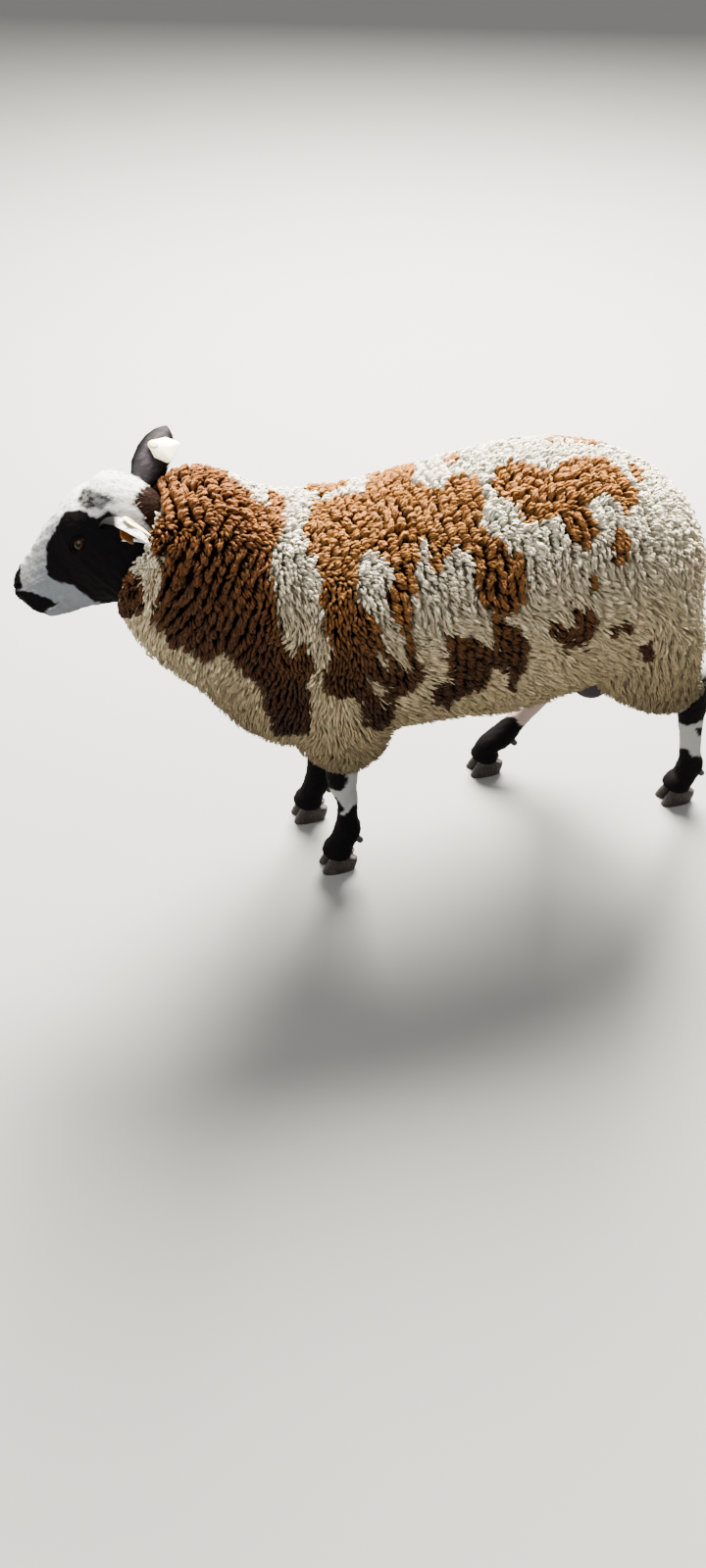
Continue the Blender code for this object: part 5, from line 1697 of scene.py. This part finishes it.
# A small blunt claw at the back of the fetlock: a short cone with a rounded tip and faint rings.
def dewclawShape(foot, side, fetlockX):
    start = np.array([fetlockX + 0.012, foot[1] + side * 0.012, 0.083])
    axis = unit(np.array([0.62, side * 0.15, -0.76]))
    far = np.concatenate([[-0.002], np.linspace(0, 0.016, 8), [0.0185, 0.020, 0.0208, 0.021]])
    size = np.concatenate([[0.0056], np.linspace(0.0060, 0.0062, 8), [0.0054, 0.0040, 0.0022, 0.0004]])
    profile = np.stack([far, size * (1 + 0.02 * np.sin(far * 2600))], -1)
    return turnedShape(start, axis, profile, np.array([0, 1.0, 0]), 20)


for name, leg in feet.items():
    fetlockX = legRows(name)[6][0]
    shapes = []
    for side in (-1, 1):
        shapes += [clawShape(leg["foot"], side), dewclawShape(leg["foot"], side, fetlockX)]
    nodes = [f"{name}_{kind}_{label}" for kind in ("claw", "dewclaw") for label in ("inner", "outer")]
    makePiece(f"hoof_{name}", joinShapes(shapes), hornMaterial, nodes)
print("hooves made")


# Ear tags

# The two ear tags, 1 on the right and -1 on the left. Pairs are for the back plate and the front plate.
tag = {
    "thickness": 0.0016,
    "length": 0.042,
    "width": 0.040,
    "neck": 0.0085,
    "corner": 0.006,
    "pin": 0.0026,
    "sides": 28,
    "at": {1: 0.55, -1: 0.42},
    "backReach": 0.0028,
    "frontReach": 0.0085,
    "turns": {1: (92, 150), -1: (5, 10)},
    "lifts": {1: (0.0, 0.25), -1: (0.12, 0.8)},
    "frontSize": {1: 0.84, -1: 0.62},
    # The left front plate sits inside the ear's cup and is coloured dark orange: painted shade, with painted
    # light shining through the plastic.
    "colours": {1: ((0.62, 0.56, 0.38), (0.60, 0.50, 0.28)), -1: ((0.62, 0.54, 0.30), (0.15, 0.048, 0.008))},
    "bevel": 0.0003,
}


# Where the pin goes through the ear, out of the ear's back, and along, across and out of a turned flag.
def tagFrame(side, turn, lift):
    at, further = earSurface(side, np.array([tag["at"][side], tag["at"][side] + 0.05]), np.zeros(2))
    _, _, rear, opening = earFrame(side)
    tip = unit(further - at)
    back = unit(np.cross(tip, rear))
    back = back * -np.sign(back @ opening)
    rear = inSurface(rear, tip)
    flat = tip * math.cos(math.radians(turn)) + rear * math.sin(math.radians(turn))
    along = unit(flat - back * lift)
    facing = unit(back + flat * lift)
    return at, back, along, np.cross(facing, along), facing


def arc(x, y, radius, start, stop, count):
    angle = np.radians(np.linspace(start, stop, count))
    return np.stack([x + radius * np.cos(angle), y + radius * np.sin(angle)], -1)


# A flag: a round neck about the pin, straight flaring sides and rounded corners, with its edges bevelled.
def flagShape(at, normal, along, across, size):
    far, wide = tag["length"] - tag["neck"] - tag["corner"], tag["width"] / 2 - tag["corner"]
    outline = size * np.concatenate([
        arc(0, 0, tag["neck"], 110, 250, 15),
        [(0.009, -tag["width"] / 2 + 0.001)],
        arc(far, -wide, tag["corner"], -90, 0, 9),
        arc(far, wide, tag["corner"], 0, 90, 9),
        [(0.009, tag["width"] / 2 - 0.001)],
    ])
    middle = outline.mean(0)
    rings = []
    thick, bevel = tag["thickness"], tag["bevel"]
    for level, inset in ((0.0, bevel), (bevel, 0), (thick - bevel, 0), (thick, bevel)):
        flat = outline - unit(outline - middle) * inset
        rings.append(at + normal * level + along * flat[:, :1] + across * flat[:, 1:])
    return tubeShape(np.array(rings), pointed=False)


def makePlate(label, place, shapes, colour):
    plate = joinShapes(shapes)
    plate["coatColour"] = np.tile(colour, (len(plate["vertices"]), 1))
    makePiece(f"tag_plate_{label}_{place}", plate, tagMaterial, [f"tag_{label}_{place}"])


for side, label in ((-1, "left"), (1, "right")):
    backTurn, frontTurn = zip(tag["turns"][side], tag["lifts"][side])
    backColour, frontColour = tag["colours"][side]
    at, back, along, across, facing = tagFrame(side, *backTurn)
    flag = flagShape(at + back * tag["backReach"], facing, along, across, 1.0)
    top = tag["backReach"] + tag["thickness"]
    low = -tag["frontReach"] - 2 * tag["thickness"]
    profile = [
        (low, 0.0010), (low + 0.001, 0.0024), (low + 0.002, tag["pin"]), (top - 0.0004, tag["pin"]),
        (top - 0.0002, 0.0062), (top + 0.0008, 0.0062), (top + 0.0013, 0.0054), (top + 0.0014, 0.0020),
    ]
    makePlate(label, "back", [flag, turnedShape(at, back, profile, headUp, tag["sides"])], backColour)
    _, _, along, across, facing = tagFrame(side, *frontTurn)
    place = at - back * (tag["frontReach"] + tag["thickness"])
    flag = flagShape(place, facing, along, across, tag["frontSize"][side])
    profile = [(-0.0022, 0.0034), (-0.0020, 0.0050), (0.0022, 0.0054), (0.0026, 0.0046)]
    makePlate(label, "front", [flag, turnedShape(place, facing, profile, headUp, tag["sides"])], frontColour)
print("tags made")


# Floor and light


def floorWiring(start):
    place = start.objectPlace()
    return {"Base Color": place.noise(2.0, 2.0).between((0.165, 0.165, 0.161, 1.0), (0.155, 0.155, 0.151, 1.0))}


studio = {
    "floorHalf": 14.0,
    "target": (0.0, 0.0, 0.45),
    "key": {"place": (0.9, 2.4, 3.2), "size": 2.2, "power": 4000.0, "colour": (1.0, 0.95, 0.86)},
    "fill": {"place": (-2.2, -2.0, 2.0), "size": 1.6, "power": 110.0, "colour": (1.0, 0.99, 0.97)},
    "sky": (1.0, 0.99, 0.97),
    "skyStrength": 0.98,
}


def makeStudio():
    half = studio["floorHalf"]
    mesh = bpy.data.meshes.new("floor")
    corners = [(-half, -half, 0), (half, -half, 0), (half, half, 0), (-half, half, 0)]
    mesh.from_pydata(corners, [], [(0, 1, 2, 3)])
    mesh.materials.append(makeMaterial("pale_floor", {"Roughness": 0.9}, floorWiring))
    floor = bpy.data.objects.new("floor", mesh)
    bpy.context.scene.collection.objects.link(floor)
    target = np.array(studio["target"])
    for name in ("key", "fill"):
        lamp = studio[name]
        light = bpy.data.objects.new(f"{name}_light", bpy.data.lights.new(name, "AREA"))
        light.data.size = lamp["size"]
        light.data.energy = lamp["power"]
        light.data.color = lamp["colour"]
        away = unit(np.array(lamp["place"]) - target)
        side = unit(np.cross(np.array([0.0, 0.0, 1.0]), away))
        light.matrix_world = standing(side, np.cross(away, side), away, np.array(lamp["place"]))
        bpy.context.scene.collection.objects.link(light)
    world = bpy.data.worlds.new("studio")
    world.use_nodes = True
    backdrop = world.node_tree.nodes["Background"]
    backdrop.inputs["Color"].default_value = (*studio["sky"], 1.0)
    backdrop.inputs["Strength"].default_value = studio["skyStrength"]
    bpy.context.scene.world = world


makeStudio()
print("studio made")
